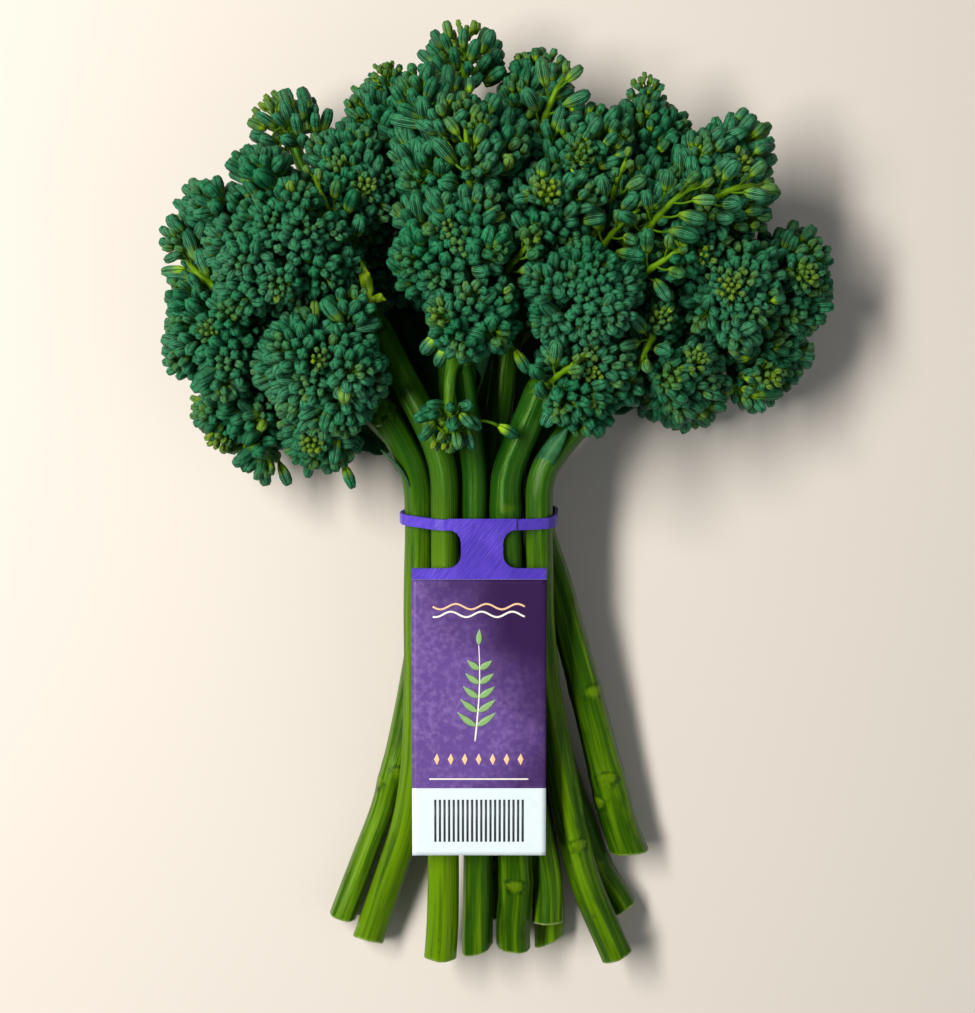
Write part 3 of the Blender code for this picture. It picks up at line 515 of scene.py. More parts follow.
# Buds: u counts the four sepals and v runs from foot to tip. The tone is (chance, young, green foot).
def budMaterial(colours):
    skin = Skin("budSkin", colours, 0.45, Specular_IOR_Level=0.28, Specular_Tint=(0.40, 1.0, 0.55, 1))
    place, (u, v, _), (chance, young, footShare) = skin.place(), skin.uv().parts(), skin.tone()
    fine, broad = place.noise(900.0, 3.0), place.noise(60.0)
    fromSeam = u.calc("PINGPONG", 0.5)
    ribs = (fromSeam * 38.0 + fine * 2.0).calc("SINE")
    skin.start("deep", "bloom", fine.ease(0.30, 0.75) * (chance + 0.25))
    skin.cover("vein", ribs.ease(0.30, 1.0) * (broad.ease(0.25, 0.65) * 0.75))
    # Dark lines between the light ribs: painted shade in the fine grooves.
    skin.cover("seam", (ribs * -1.0).ease(0.1, 0.9) * 0.48)
    skin.cover("bloom", v.ease(0.70, 1.0) * 0.45)
    footEdge = v + (fine - 0.5) * 0.25
    skin.cover("foot", (1.0 - footEdge.ease(0.14, 0.56)) * footShare)
    skin.cover("young", young)
    # The seams where the sepals meet, near black: painted shade in the creases.
    skin.cover("seam", (1.0 - fromSeam.ease(0.02, 0.13)) * 0.85)
    return skin.finish(fromSeam * 1.6 + ribs * 0.18 + fine * 0.5, 0.6, 0.0004)


branchColours = {
    "green": (0.006, 0.048, 0.002), "light": (0.036, 0.125, 0.002), "bloom": (0.010, 0.085, 0.030),
    "yellow": (0.110, 0.235, 0.003),
}


# Branches and pedicels: the second tone is how yellow they are, and fine streaks run along them.
def branchMaterial(colours):
    skin = Skin("branchSkin", colours, 0.40, Specular_IOR_Level=0.35, Specular_Tint=(0.50, 1.0, 0.20, 1))
    streaks = skin.uv().mapped(Scale=(9.0, 1.2, 1.0)).noise(2.0, 3.0)
    skin.start("green", "light", streaks.ease(0.3, 0.7))
    skin.cover("bloom", skin.place().noise(120.0).ease(0.45, 0.8) * 0.5)
    skin.cover("yellow", skin.tone()[1])
    return skin.finish(streaks, 0.4, 0.0004)


stemColours = {
    "green": (0.016, 0.058, 0.001), "bright": (0.105, 0.215, 0.001), "dark": (0.002, 0.018, 0.001),
    "bloom": (0.060, 0.180, 0.030), "shade": (0.0055, 0.056, 0.004), "scar": (0.130, 0.240, 0.003),
    "cork": (0.040, 0.045, 0.008), "pith": (0.300, 0.430, 0.110), "core": (0.160, 0.275, 0.030),
}


# Stems: u runs round and v along in centimetres. The tone is (chance, leaf scar, cut end). They are darker
# towards the heads: painted shade, from the heads above them.
def stemMaterial(colours):
    skin = Skin("stemSkin", colours, 0.32, Specular_IOR_Level=0.26, Specular_Tint=(0.45, 1.0, 0.15, 1),
                Coat_Weight=0.07, Coat_Roughness=0.22)
    place, (chance, scar, cut) = skin.place(), skin.tone()
    own = addNode(skin.tree, "ShaderNodeCombineXYZ", {2: chance * 9.0})
    shifted = addNode(skin.tree, "ShaderNodeVectorMath", {0: skin.uv(), 1: own}, operation="ADD")
    stripes = shifted.mapped(Scale=(11.0, 0.16, 1.0)).noise(1.6, 4.0)
    hair = shifted.mapped(Scale=(46.0, 0.5, 1.0)).noise(1.6, 2.0)
    patches = shifted.mapped(Scale=(4.0, 0.5, 1.0)).noise(1.3, 3.0)
    # The bright colour is the stems' own paler streaks, and it also stands in for the band where light falls along
    # them: partly painted highlight.
    skin.start("green", "bright", (stripes + (chance - 0.5) * 0.30).ease(0.30, 0.66))
    skin.cover("dark", patches.ease(0.52, 0.78) * (1.05 - chance))
    skin.cover("bloom", stripes.ease(0.60, 0.72) * patches.ease(0.38, 0.60) * 0.35)
    skin.cover("bright", hair.ease(0.55, 0.75) * 0.25)
    skin.cover("cork", place.noise(420.0, 1.0).ease(0.73, 0.80) * 0.5)
    rough = scar + (place.noise(900.0, 2.0) - 0.5) * 0.5
    skin.cover("dark", rough.ease(0.14, 0.50) * place.noise(300.0, 2.0).ease(0.42, 0.60) * 0.8)
    # A leaf scar: its pale yellow-green is partly the scar's own colour and partly a painted highlight on its
    # hump.
    skin.cover("scar", rough.ease(0.40, 0.85) * 0.6)
    # Painted shade: darker towards the heads, where the heads shadow the stems.
    skin.cover("shade", place.parts()[1].ease(-0.045, 0.015) * 0.80)
    skin.cover(skin.blend("core", "pith", place.noise(800.0, 3.0).ease(0.30, 0.70)), cut)
    return skin.finish(hair * 0.6 + stripes, 0.5, 0.0006)


budSkin = budMaterial(budColours)
branchSkin = branchMaterial(branchColours)
stemSkin = stemMaterial(stemColours)

stemLook = {
    "sides": 48, "step": 2.0, "ridges": 5, "ridgeHeight": 0.032, "secondRidge": 0.5, "oval": 0.035,
    "twist": 0.004, "waver": 0.02, "waverLength": 13, "intoHead": 0.35, "scarLength": 2.9, "scarWidth": 0.72,
    "scarHeight": 0.24, "scarSkew": 1.9, "scarSwell": 0.05, "rimWidth": 0.45, "rimLeast": 0.3, "ragged": 0.12,
    "endInset": 0.2, "paleCut": 0.9, "lowest": 0.02,
}

# Leaf scars: stem, y, degrees round the stem from its right side.
scarPlan = {
    "01": [(-71, 66), (-74, 150)], "04": [(-20, 60)], "05": [(-60, 90), (22, 70)], "06": [(-0.5, 84), (-99, 96)],
    "08": [(-48, 62), (-72, 92), (-78, 150), (20, 60)], "09": [(-95.5, 96)], "10": [(-89, 80), (-40, 110)],
    "11": [(-97, 90)],
}

# How pale each stem is. How its end is cut: how much longer its left side is, and its underside, as shares
# of its radius.
endPlan = {
    "01": (0.40, 0.06, 0.00), "02": (0.65, 0.10, 0.32), "03": (1.0, 0.02, 0.05), "04": (0.25, 0.04, 0.00),
    "05": (0.02, 0.30, 0.00), "06": (0.10, -0.12, 0.00), "07": (0.80, 0.42, 0.00), "08": (0.20, -0.30, 0.00),
    "09": (0.02, 0.10, 0.10), "10": (0.30, 0.00, 0.00), "11": (0.02, 0.10, 0.00),
}


# A stem: a circle carried along its line. Its radius is raised by a cosine for the ridges, by another that
# makes it a little oval, and by a round hump at each leaf scar.
def stemShape(name, stalk, look, random):
    line = evenPoints(stalk["line"], round(pathLength(stalk["line"]) / look["step"]) + 1)
    foot, top, _ = crownOf(stalk)
    rim = line[0] + look["rimWidth"] * unit(line[1] - line[0])
    line = np.vstack([line[:1], rim, line[1:], foot + look["intoHead"] * (top - foot)])
    count, sides = len(line), look["sides"]
    radii = evenValues(stalk["radii"], count)
    run = np.concatenate([[0], np.cumsum(np.linalg.norm(np.diff(line, axis=0), axis=1))])
    angle = -math.pi / 2 + 2 * math.pi * np.arange(sides) / sides
    twist = random.uniform(0, anyTurn) + run[:, None] * random.uniform(-look["twist"], look["twist"])
    ridge = np.cos(look["ridges"] * (angle + twist)) + look["secondRidge"] * np.cos(3 * angle - 2 * twist)
    shape = 1 + look["ridgeHeight"] * ridge + look["oval"] * np.cos(2 * angle + 3 * twist)
    shape += look["waver"] * np.sin(run[:, None] / look["waverLength"] + twist + angle)
    paleness, leftward, downward = endPlan[name]
    tone = np.zeros((count, sides, 3))
    tone[..., 0] = paleness
    for y, degrees in scarPlan.get(name, []):
        station = np.argmin(np.abs(line[:, 1] - y))
        along = (run - run[station]) / look["scarLength"]
        along = np.where(along > 0, look["scarSkew"] * along, along)
        around = np.angle(np.exp(1j * (angle - math.radians(degrees)))) / look["scarWidth"]
        hump = np.exp(-(along**2)[:, None] - around[None, :] ** 2)
        shape += look["scarHeight"] / radii[:, None] * hump
        shape += look["scarSwell"] * np.exp(-(along**2))[:, None]
        tone[..., 1] = np.maximum(tone[..., 1], hump)
    drawn = tube(line[None], radii[:, None] * shape, sides, skyWay, (0, 0, 0), run / 10)
    points = drawn["points"].reshape(count, sides, 3)
    onward = headingOf(line)[0]
    lean = radii[0] * (leftward * np.cos(angle) + downward * np.sin(angle))
    lean += random.uniform(0, look["ragged"], sides)
    points[:2] += onward * (lean - lean.min() + look["endInset"])[:, None]
    points[:2, :, 2] = np.maximum(points[:2, :, 2], look["lowest"])
    over = (points[2] - points[1]) @ onward < look["rimLeast"]
    points[2, over] = points[1, over] + look["rimLeast"] * onward
    tone[0, :, 2] = look["paleCut"]
    drawn["points"], drawn["tone"] = points.reshape(-1, 3), tone.reshape(-1, 3)
    return [drawn, cutFace(points[0], onward, paleness)]


cutRings = {"shares": np.array([1.0, 0.93, 0.6, 0.25]), "depths": np.array([0.0, -0.25, 0.25, 0.35])}


# A cut end: rings that shrink from the stem's edge to its middle, each at its own depth.
def cutFace(edge, heading, chance):
    middle, rings, sides = edge.mean(0), len(cutRings["shares"]), len(edge)
    points = middle + (edge - middle) * cutRings["shares"][:, None, None]
    points = points + heading * cutRings["depths"][:, None, None]
    quads = np.roll(ringQuads(rings, sides)[..., ::-1], 1, axis=-1)
    cap = (rings - 1) * sides + np.arange(sides)[None]
    faces = [(quads, np.full((*quads.shape, 2), 0.5), False), (cap, np.full((*cap.shape, 2), 0.5), False)]
    return {"points": points.reshape(-1, 3), "faces": repeated(faces, 1, 0), "tone": (chance, 0.0, 1.0)}


for number, (name, stalk) in enumerate(stalks.items()):
    stem = stemShape(name, stalk, stemLook, np.random.default_rng(100 + number))
    addPiece("stemFine_" + name, stem, [stemSkin], ["stem_" + name])
print("stems built")

# A bud's outline: (height, half width, groove at a seam, keel on a sepal), the last three as shares of half
# its width and the first of its length. It has four sepals, and its tip lies a little below their lobes.
budLook = {
    "columns": 8,
    "full": [(0.0, 0.34, 0.97, 1.0), (0.26, 0.80, 0.94, 1.03), (0.58, 1.0, 0.90, 1.05), (0.82, 0.87, 0.83, 1.07),
             (0.96, 0.50, 0.64, 1.12)],
    "small": [(0.0, 0.40, 0.97, 1.0), (0.48, 1.0, 0.90, 1.04), (0.90, 0.66, 0.74, 1.10)],
    "tip": 0.925, "smallBelow": 2.5,
}


# Many buds at once. Each ring's radius is its profile times the groove at a seam or the keel on a sepal.
def budShapes(feet, axes, lengths, widths, turns, tones):
    isSmall = widths < budLook["smallBelow"]
    shapes = []
    for profile, chosen in ((budLook["full"], ~isSmall), (budLook["small"], isSmall)):
        if chosen.any():
            shapes.append(budBatch(*(a[chosen] for a in (feet, axes, lengths, widths, turns, tones)), profile))
    return shapes


def budBatch(feet, axes, lengths, widths, turns, tones, profile):
    many, columns = len(feet), budLook["columns"]
    heights, halves, grooves, keels = np.array(profile).T
    side = unit(np.cross(axes, np.where(np.abs(axes[:, 2:]) > 0.9, [[1.0, 0.2, 0.0]], [[0.1, 0.2, 1.0]])))
    lift = np.cross(side, axes)
    column = np.arange(columns)
    angle = turns[:, None] + 2 * math.pi * column / columns
    girth = halves[:, None] * np.where(column % 2 == 0, grooves[:, None], keels[:, None])
    wide = 0.5 * widths[:, None, None] * girth[None]
    around = np.cos(angle)[..., None] * side[:, None] + np.sin(angle)[..., None] * lift[:, None]
    rise = (heights[None, :] * lengths[:, None])[:, :, None, None] * axes[:, None, None]
    points = feet[:, None, None] + rise + wide[..., None] * around[:, None]
    tips = feet + axes * (budLook["tip"] * lengths)[:, None]
    points = np.concatenate([points.reshape(many, -1, 3), tips[:, None]], axis=1)
    last, tip = (len(heights) - 1) * columns, len(heights) * columns
    fan = np.stack([last + column, np.full(columns, tip), last + (column + 1) % columns], axis=-1)
    u = np.arange(columns + 1) / 2
    fanU = np.stack([u[:-1], u[:-1] + 0.25, u[1:]], axis=-1)
    fanUv = np.stack([fanU, np.tile([heights[-1], 1.0, heights[-1]], (columns, 1))], axis=-1)
    faces = [(ringQuads(len(heights), columns), ringUv(u, heights), True), (fan, fanUv, True),
             (column[None], np.zeros((1, columns, 2)), False)]
    return {"points": points.reshape(-1, 3), "faces": repeated(faces, many, tip + 1),
            "tone": np.repeat(tones, tip + 1, axis=0), "count": many}


# One row of three tones for each bud or line.
def toneOf(chance, second, third):
    return np.stack(np.broadcast_arrays(chance, second, third), axis=1)


# The direction square to each axis at a turn round it.
def squareTo(axes, turn):
    side = unit(np.cross(axes, (0.31, 0.95, 0.11)))
    return np.cos(turn)[:, None] * side + np.sin(turn)[:, None] * np.cross(axes, side)


# Directions round an axis in a sunflower's spiral: a direction's angle from the axis is given, and each one
# turns by the golden angle from the one before.
def spiralWays(axis, away, random):
    turn = np.arange(len(away)) * goldenAngle + random.uniform(0, anyTurn)
    return np.cos(away)[:, None] * axis + np.sin(away)[:, None] * squareTo(axis, turn)


# Angles from the axis of a spiral whose cells have the given areas: the count of cells out to an angle is
# the sum of the sphere's area there over the cell's area.
def spiralAngles(radius, cellAt, widest):
    angles = np.linspace(0, widest, 500)
    perAngle = 2 * math.pi * radius**2 * np.sin(angles) / cellAt(angles)
    count = np.concatenate([[0], np.cumsum(0.5 * (perAngle[1:] + perAngle[:-1]) * np.diff(angles))])
    return np.interp(np.arange(max(1, int(count[-1]))) + 0.5, count, angles)


pressRules = {
    "rounds": 30, "balls": (0.22, 0.54, 0.84), "girths": (0.56, 0.94, 0.84), "renew": 6, "near": 1.0,
    "anchor": 0.06, "ease": 0.55, "crowding": 0.35, "lever": 0.2, "sunk": 0.30,
}


# Three balls along each bud, by which buds keep clear of each other, and their radii.
def ballsOf(feet, tips, widths):
    shares, girths = np.array(pressRules["balls"])[:, None], np.array(pressRules["girths"])
    return feet[:, None] + (tips - feet)[:, None] * shares, widths[:, None] * girths / 2


# Presses buds apart. Each is a rod of three balls, and the two balls that overlap most push their rods away
# from each other, the nearer end of a rod more than its other end. A rod keeps its length. Where two are
# still sunk into each other at the end, the one nearer the centre is left out.
def pressApart(feet, tips, widths, centre):
    rules = pressRules
    feet, tips = feet.copy(), tips.copy()
    lengths = np.linalg.norm(tips - feet, axis=1)
    anchors = feet.copy()
    for turn in range(rules["rounds"] + 1):
        if turn % rules["renew"] == 0:
            middles = (feet + tips) / 2
            distance = np.linalg.norm(middles[:, None] - middles[None], axis=2)
            touching = distance < (lengths[:, None] + lengths[None]) / 2 + rules["near"]
            a, b = np.nonzero(np.triu(touching, 1))
            pair = np.arange(len(a))
        balls, halves = ballsOf(feet, tips, widths)
        apart = balls[a][:, :, None] - balls[b][:, None]
        far = np.linalg.norm(apart, axis=3)
        depth = (halves[a][:, :, None] + halves[b][:, None] - far).reshape(len(a), -1)
        worst = depth.argmax(1)
        depth = np.maximum(depth[pair, worst], 0)
        if turn == rules["rounds"]:
            break
        ballA, ballB = worst // 3, worst % 3
        way = unit(apart[pair, ballA, ballB]) * (0.5 * depth)[:, None]
        footMove, tipMove, count = np.zeros_like(feet), np.zeros_like(tips), np.zeros(len(feet))
        for owner, ball, sign in ((a, ballA, 1), (b, ballB, -1)):
            share = np.array(rules["balls"])[ball][:, None]
            np.add.at(footMove, owner, sign * way * (1 + rules["lever"] - share))
            np.add.at(tipMove, owner, sign * way * (rules["lever"] + share))
            np.add.at(count, owner, depth > 0)
        slow = rules["ease"] / np.maximum(1, count * rules["crowding"])[:, None]
        feet += slow * footMove + rules["anchor"] * (anchors - feet)
        tips += slow * tipMove
        middle, axes = (feet + tips) / 2, unit(tips - feet)
        feet, tips = middle - axes * lengths[:, None] / 2, middle + axes * lengths[:, None] / 2
    sunk = depth > rules["sunk"] * np.minimum(widths[a], widths[b])
    fromCentre = np.linalg.norm(tips - centre, axis=1)
    kept = np.ones(len(feet), bool)
    kept[np.where(fromCentre[a] < fromCentre[b], a, b)[sunk]] = False
    return feet, tips, kept


fillLook = {
    "gap": 0.95, "widest": math.radians(105), "width": (0.70, 0.95), "ratio": (1.4, 1.9), "level": (0.84, 0.98),
    "tilt": 0.25, "sunk": 0.22, "openFewer": 0.7,
}


# Small buds for the gaps that are left: candidates on a spiral a little below the floret's surface, of which
# those stay whose balls meet no other bud.
def fillGaps(feet, tips, widths, centre, radius, axis, grain, room, openness, random):
    look = fillLook
    away = spiralAngles(radius, lambda a: (look["gap"] * grain) ** 2 + 0 * a, look["widest"])
    ways = spiralWays(axis, away, random)
    many = len(ways)
    wide = grain * random.uniform(*look["width"], many)
    high = wide * random.uniform(*look["ratio"], many)
    level = radius * random.uniform(*look["level"], many)
    newTips = centre + ways * np.minimum(level, reachAlong(ways, radius, room))[:, None]
    newFeet = newTips - unit(ways + random.normal(0, look["tilt"], ways.shape)) * high[:, None]
    balls, girths = ballsOf(feet, tips, widths)
    newBalls, newGirths = ballsOf(newFeet, newTips, wide)
    far = np.linalg.norm(newBalls.reshape(-1, 1, 3) - balls.reshape(1, -1, 3), axis=2)
    deep = (newGirths.reshape(-1, 1) + girths.reshape(1, -1) - far).max(1).reshape(many, -1).max(1)
    free = (deep < look["sunk"] * wide) & (random.uniform(0, 1, many) > openness * look["openFewer"])
    return newFeet[free], newTips[free], wide[free]


# Keeps a floret inside the solids' box: planes in front of its sides and top.
boxMargin = 1.3
boxLow, boxHigh = (np.array(corner) / mm + planMiddle for corner in cadBox)


def withBox(centre, room):
    ways = np.vstack([room[0], np.eye(3), -np.eye(3)[:2]])
    offsets = np.concatenate([room[1], boxHigh - boxMargin - centre, (centre - boxLow)[:2] - boxMargin])
    return ways, offsets


# Sprigs that lie open on the heads: stalk, their line's foot, bend and tip, buds, reach of the lowest pedicels.
sprigPlan = [
    ("08", [(38.0, 67.5, 36), (41.5, 71.0, 44.5), (46.3, 75.7, 47.5), (54.5, 81.0, 47.5)], 11, 7.5),
    ("08", [(30.6, 68.0, 32), (31.8, 79.0, 42.5), (34.5, 86.0, 45)], 8, 6.5),
    ("08", [(25.5, 60.0, 30), (31.5, 68.5, 42), (37.5, 73.5, 46)], 8, 6.5),
    ("09", [(36.8, 56.5, 34), (40.5, 59.0, 43.5), (44.3, 61.3, 46.5), (49.0, 64.5, 48)], 8, 5.5),
    ("04", [(-3.8, 75.0, 40), (-4.6, 81.5, 49.5), (-5.2, 90.0, 51.5), (-6.2, 99.0, 49)], 9, 5.5),
    ("07", [(3.0, 56.5, 37), (5.5, 59.5, 44.5), (8.5, 62.5, 48), (12.5, 68.0, 50)], 8, 5.5),
    ("07", [(12.5, 93.0, 32), (17.0, 104.0, 39), (21.0, 110.0, 36)], 7, 5.5),
    ("06", [(14.5, 30.0, 34), (17.0, 32.0, 44), (20.0, 34.2, 47.5), (24.0, 37.0, 49.5)], 7, 5.0),
    ("03", [(-34.5, 66.0, 33), (-37.5, 70.0, 42), (-40.5, 76.0, 46), (-43.0, 82.0, 45)], 8, 6.0),
    ("01", [(-68.5, 55.0, 33), (-74.0, 59.5, 33), (-78.5, 65.0, 28)], 7, 3.6),
    ("08", [(52.0, 73.0, 38), (57.5, 77.0, 45.5), (63.5, 79.0, 46.5), (69.5, 79.5, 42)], 9, 6.0),
    ("10", [(40.0, 40.0, 33), (41.5, 42.5, 39.5), (39.0, 38.0, 42), (37.5, 34.0, 41)], 5, 5.5),
]

sprigLook = {
    "step": 0.5, "thick": (1.15, 0.55), "knots": 0.10, "width": 3.9, "widthSpread": (0.9, 1.12),
    "youngShare": 0.45, "ratio": (1.35, 2.0), "ratioSpread": (0.92, 1.08),
    "fan": (math.radians(35), math.radians(88)), "tipFan": 0.35, "ahead": 0.72, "out": 0.62, "tipReach": 0.28,
    "reachSpread": (0.8, 1.15), "budAhead": 0.75, "budOut": 0.6, "wobble": 0.12, "bendAhead": 0.22,
    "bendOut": 0.45, "young": 0.55, "clear": 0.45, "heed": 30,
    "pedicel": 0.36, "profile": (1.2, 0.95, 0.85, 0.85, 0.95, 1.3), "sink": 0.4, "youngThick": 0.6,
}


# Bare pedicels that swell at both ends. Each is a curve from its root to just inside its bud. Its radius is
# the profile times a share that grows with the bud.
def barePedicels(feet, axes, roots, bends, look, grown, aside, tone):
    lines = bentLines(roots, bends, feet + axes * look["sink"], len(look["profile"]))
    thick = look["pedicel"] * np.array(look["profile"])[None, :, None]
    thick = thick * between(look["youngThick"], 1, grown[:, None, None])
    return tube(lines, thick, 6, unit(np.cross(axes, aside))[:, None], tone), lines


# A sprig: buds leave its line on alternate sides, on pedicels that are longest at its foot and curve forward.
# It gives the buds, the wood, and the balls by which other buds keep clear of both.
def sprigShapes(line, many, reach, look, random):
    path = smoothPath(line, look["step"])
    steps, order = np.arange(len(path)), np.arange(many)
    along = (order + 0.6) / many
    station = np.round(along * (len(path) - 1)).astype(int)
    spots, ahead = path[station], headingOf(path)[station]
    side = unit(np.cross(ahead, skyWay))
    lift = np.cross(side, ahead)
    old = 1 - smooth(along, 0.35, 1.0)
    turn = np.where(order % 2 == 0, 1, -1) * random.uniform(*look["fan"], many) * between(look["tipFan"], 1, old)
    outward = np.cos(turn)[:, None] * lift + np.sin(turn)[:, None] * side
    width = look["width"] * between(look["youngShare"], 1, old) * random.uniform(*look["widthSpread"], many)
    length = width * between(*look["ratio"], old) * random.uniform(*look["ratioSpread"], many)
    far = (reach * between(look["tipReach"], 1, old) * random.uniform(*look["reachSpread"], many))[:, None]
    feet = spots + (look["ahead"] * ahead + look["out"] * outward) * far
    wobble = random.normal(0, look["wobble"], (many, 3))
    axes = unit(look["budAhead"] * ahead + look["budOut"] * outward + wobble)
    tips = feet + axes * length[:, None]
    tooHigh = np.maximum(0, np.maximum(feet[:, 2], tips[:, 2]) + 0.5 * width - (boxHigh[2] - boxMargin))
    feet[:, 2] -= tooHigh
    tips[:, 2] -= tooHigh
    tones = toneOf(random.uniform(0, 1, many), look["young"] * (1 - old) * random.uniform(0.4, 1, many),
                   random.uniform(0.4, 0.9, many))
    buds = budShapes(feet, axes, length, width, random.uniform(0, anyTurn, many), tones)
    bends = spots + (look["bendAhead"] * ahead + look["bendOut"] * outward) * far
    pedicels, lines = barePedicels(feet, axes, spots, bends, look, old, (0.02, 0.05, 1.0), (0.5, 0.55, 0.0))
    thick = np.linspace(*look["thick"], len(path)) * (1 + look["knots"] * np.sin(steps * 0.9))
    spine = tube(path[None], thick[:, None], 10, unit(np.cross(ahead[0], skyWay)), (0.4, 0.85, 0.0), steps * 0.05)
    balls, girths = ballsOf(feet, tips, width)
    lineGirths = np.full(lines.shape[0] * lines.shape[1], look["pedicel"])
    return (buds, [pedicels, spine], np.vstack([path, lines.reshape(-1, 3), balls.reshape(-1, 3)]),
            np.concatenate([thick, lineGirths, girths.ravel()]))


# Which of a floret's buds stand clear of every sprig.
def clearOfSprigs(feet, tips, widths):
    balls, halves = ballsOf(feet, tips, widths)
    near = np.linalg.norm(sprigBalls - feet.mean(0), axis=1) < sprigLook["heed"]
    if not near.any():
        return np.ones(len(feet), bool)
    far = np.linalg.norm(balls[:, :, None] - sprigBalls[near], axis=3)
    deep = (halves[..., None] + sprigGirths[near] - far).max(axis=(1, 2))
    return deep < sprigLook["clear"] * 0.5 * widths


# A pair holds a closed floret's value and a fully open one's.
floretLook = {
    "youngGap": 8.0, "youngWidth": 2.0, "youngReach": 2.0, "oldReach": 9.0, "widest": math.radians(113),
    "underWidest": math.radians(152), "clumpRadius": (0.70, 0.63),
    "clumpAngle": (math.radians(64), math.radians(88)), "clumpWobble": 0.18, "lowest": 0.84, "high": 1.20,
    "spread": 1.45, "few": 2.3, "grooveRise": 0.32, "heartWidth": (0.60, 0.56), "edgeWidth": (1.20, 1.08),
    "comb": (0.0, 0.75), "heartCrowd": (1.20, 1.45), "packing": (1.30, 2.15), "rimFrom": math.radians(42),
    "rimTo": math.radians(80), "rimWidth": 0.10, "rimPacking": 0.30, "rimRatio": 0.30, "rimFoot": 0.40,
    "uneven": (0.10, 0.20), "lap": (0.45, 0.60), "crowded": (0.66, 0.52), "gather": (0.30, 0.05),
    "jitter": (0.16, 0.24), "pressed": 0.60, "youngRatio": 1.25, "ratio": (1.75, 2.15), "giants": (0.03, 0.05),
    "giantSize": 1.20, "pedicel": 0.125, "mostInset": 1.2, "strayYoung": 0.008, "facingOut": 0.35,
}

# Each floret: bud width, distance between clumps, openness, how yellow its young buds are, and the plan's
# (x, y) of its youngest clump where that isn't along its facing. A floret underneath has a facing instead.
floretStyle = {
    ("01", 0): (3.3, 12.5, 0.35, 0.50, (-70.0, 46.0)), ("01", 1): (3.8, 14.5, 0.85, 0.40, (-72.0, 65.0)),
    ("01", 2): (3.8, 14.0, 0.4, 0.4, (-0.7, -0.2, 0.2)), ("01", 3): (3.9, 15.0, 0.5, 0.3, (-0.4, 0.8, 0.3)),
    ("02", 0): (3.4, 13.0, 0.15, 0.60, (-40.5, 32.5)), ("02", 1): (3.4, 13.0, 0.50, 0.9, None),
    ("02", 2): (3.3, 12.0, 0.40, 0.8, (-43.5, 20.0)),
    ("03", 0): (3.0, 11.0, 0.15, 0.30, (-50.0, 60.0)), ("03", 1): (3.1, 12.0, 0.45, 0.60, (-34.5, 83.0)),
    ("04", 0): (3.9, 16.0, 0.80, 0.40, (-6.8, 92.0)), ("04", 1): (3.6, 15.0, 0.90, 0.5, None),
    ("04", 2): (3.9, 15.0, 0.6, 0.3, (-0.3, 0.9, 0.3)),
    ("05", 0): (3.5, 13.5, 0.45, 0.50, (-6.8, 67.0)), ("05", 1): (3.4, 13.0, 0.55, 1.0, (-4.8, 52.5)),
    ("06", 0): (3.1, 11.5, 0.15, 0.20, (24.0, 52.0)), ("06", 1): (3.1, 12.0, 0.50, 0.8, (24.6, 35.5)),
    ("07", 0): (3.7, 16.0, 1.00, 0.4, (24.0, 90.0)), ("07", 1): (3.5, 14.0, 0.70, 1.0, (15.6, 73.0)),
    ("07", 2): (3.6, 15.5, 0.95, 0.4, None), ("07", 3): (3.9, 15.0, 0.6, 0.3, (0.2, 0.9, 0.3)),
    ("08", 0): (3.9, 17.0, 1.00, 0.7, (66.0, 90.0)), ("08", 1): (3.7, 15.5, 0.90, 0.5, None),
    ("08", 2): (3.7, 16.0, 1.00, 0.6, (50.5, 63.0)), ("08", 3): (4.0, 16.0, 0.7, 0.3, (0.6, 0.5, 0.3)),
    ("09", 0): (3.6, 14.5, 0.85, 0.7, (80.0, 57.0)), ("09", 1): (3.4, 13.5, 0.65, 0.9, (60.0, 53.0)),
    ("09", 2): (3.4, 13.5, 0.75, 0.9, None), ("09", 3): (3.9, 15.0, 0.6, 0.3, (0.8, 0.1, 0.3)),
    ("10", 0): (3.5, 14.0, 0.70, 0.6, (49.5, 34.0)), ("10", 1): (3.7, 14.0, 0.95, 0.5, None),
    ("10", 2): (3.7, 14.5, 0.80, 0.6, (72.0, 38.5)), ("10", 3): (3.9, 14.0, 0.6, 0.3, (0.2, -0.9, 0.3)),
    ("11", 0): (4.0, 15.0, 0.6, 0.3, (-0.3, 0.1, 0.9)), ("11", 1): (4.0, 15.0, 0.6, 0.3, (0.0, 0.1, 0.9)),
    ("11", 2): (4.0, 15.0, 0.6, 0.3, (0.2, 0.1, 0.9)),
}


# The way from a floret's middle to its youngest clump.
def facingOf(centre, floret, top, young):
    if young is None:
        return unit(unit(np.array(floret[4])) + floretLook["facingOut"] * unit(centre - top))
    if len(young) == 3:
        return unit(np.array(young))
    flat = np.array(young) - np.array(floret[:2])
    flat /= max(1.0, np.linalg.norm(flat) / (0.8 * floret[3]))
    return unit(np.array([*flat, math.sqrt(floret[3] ** 2 - flat @ flat)]))


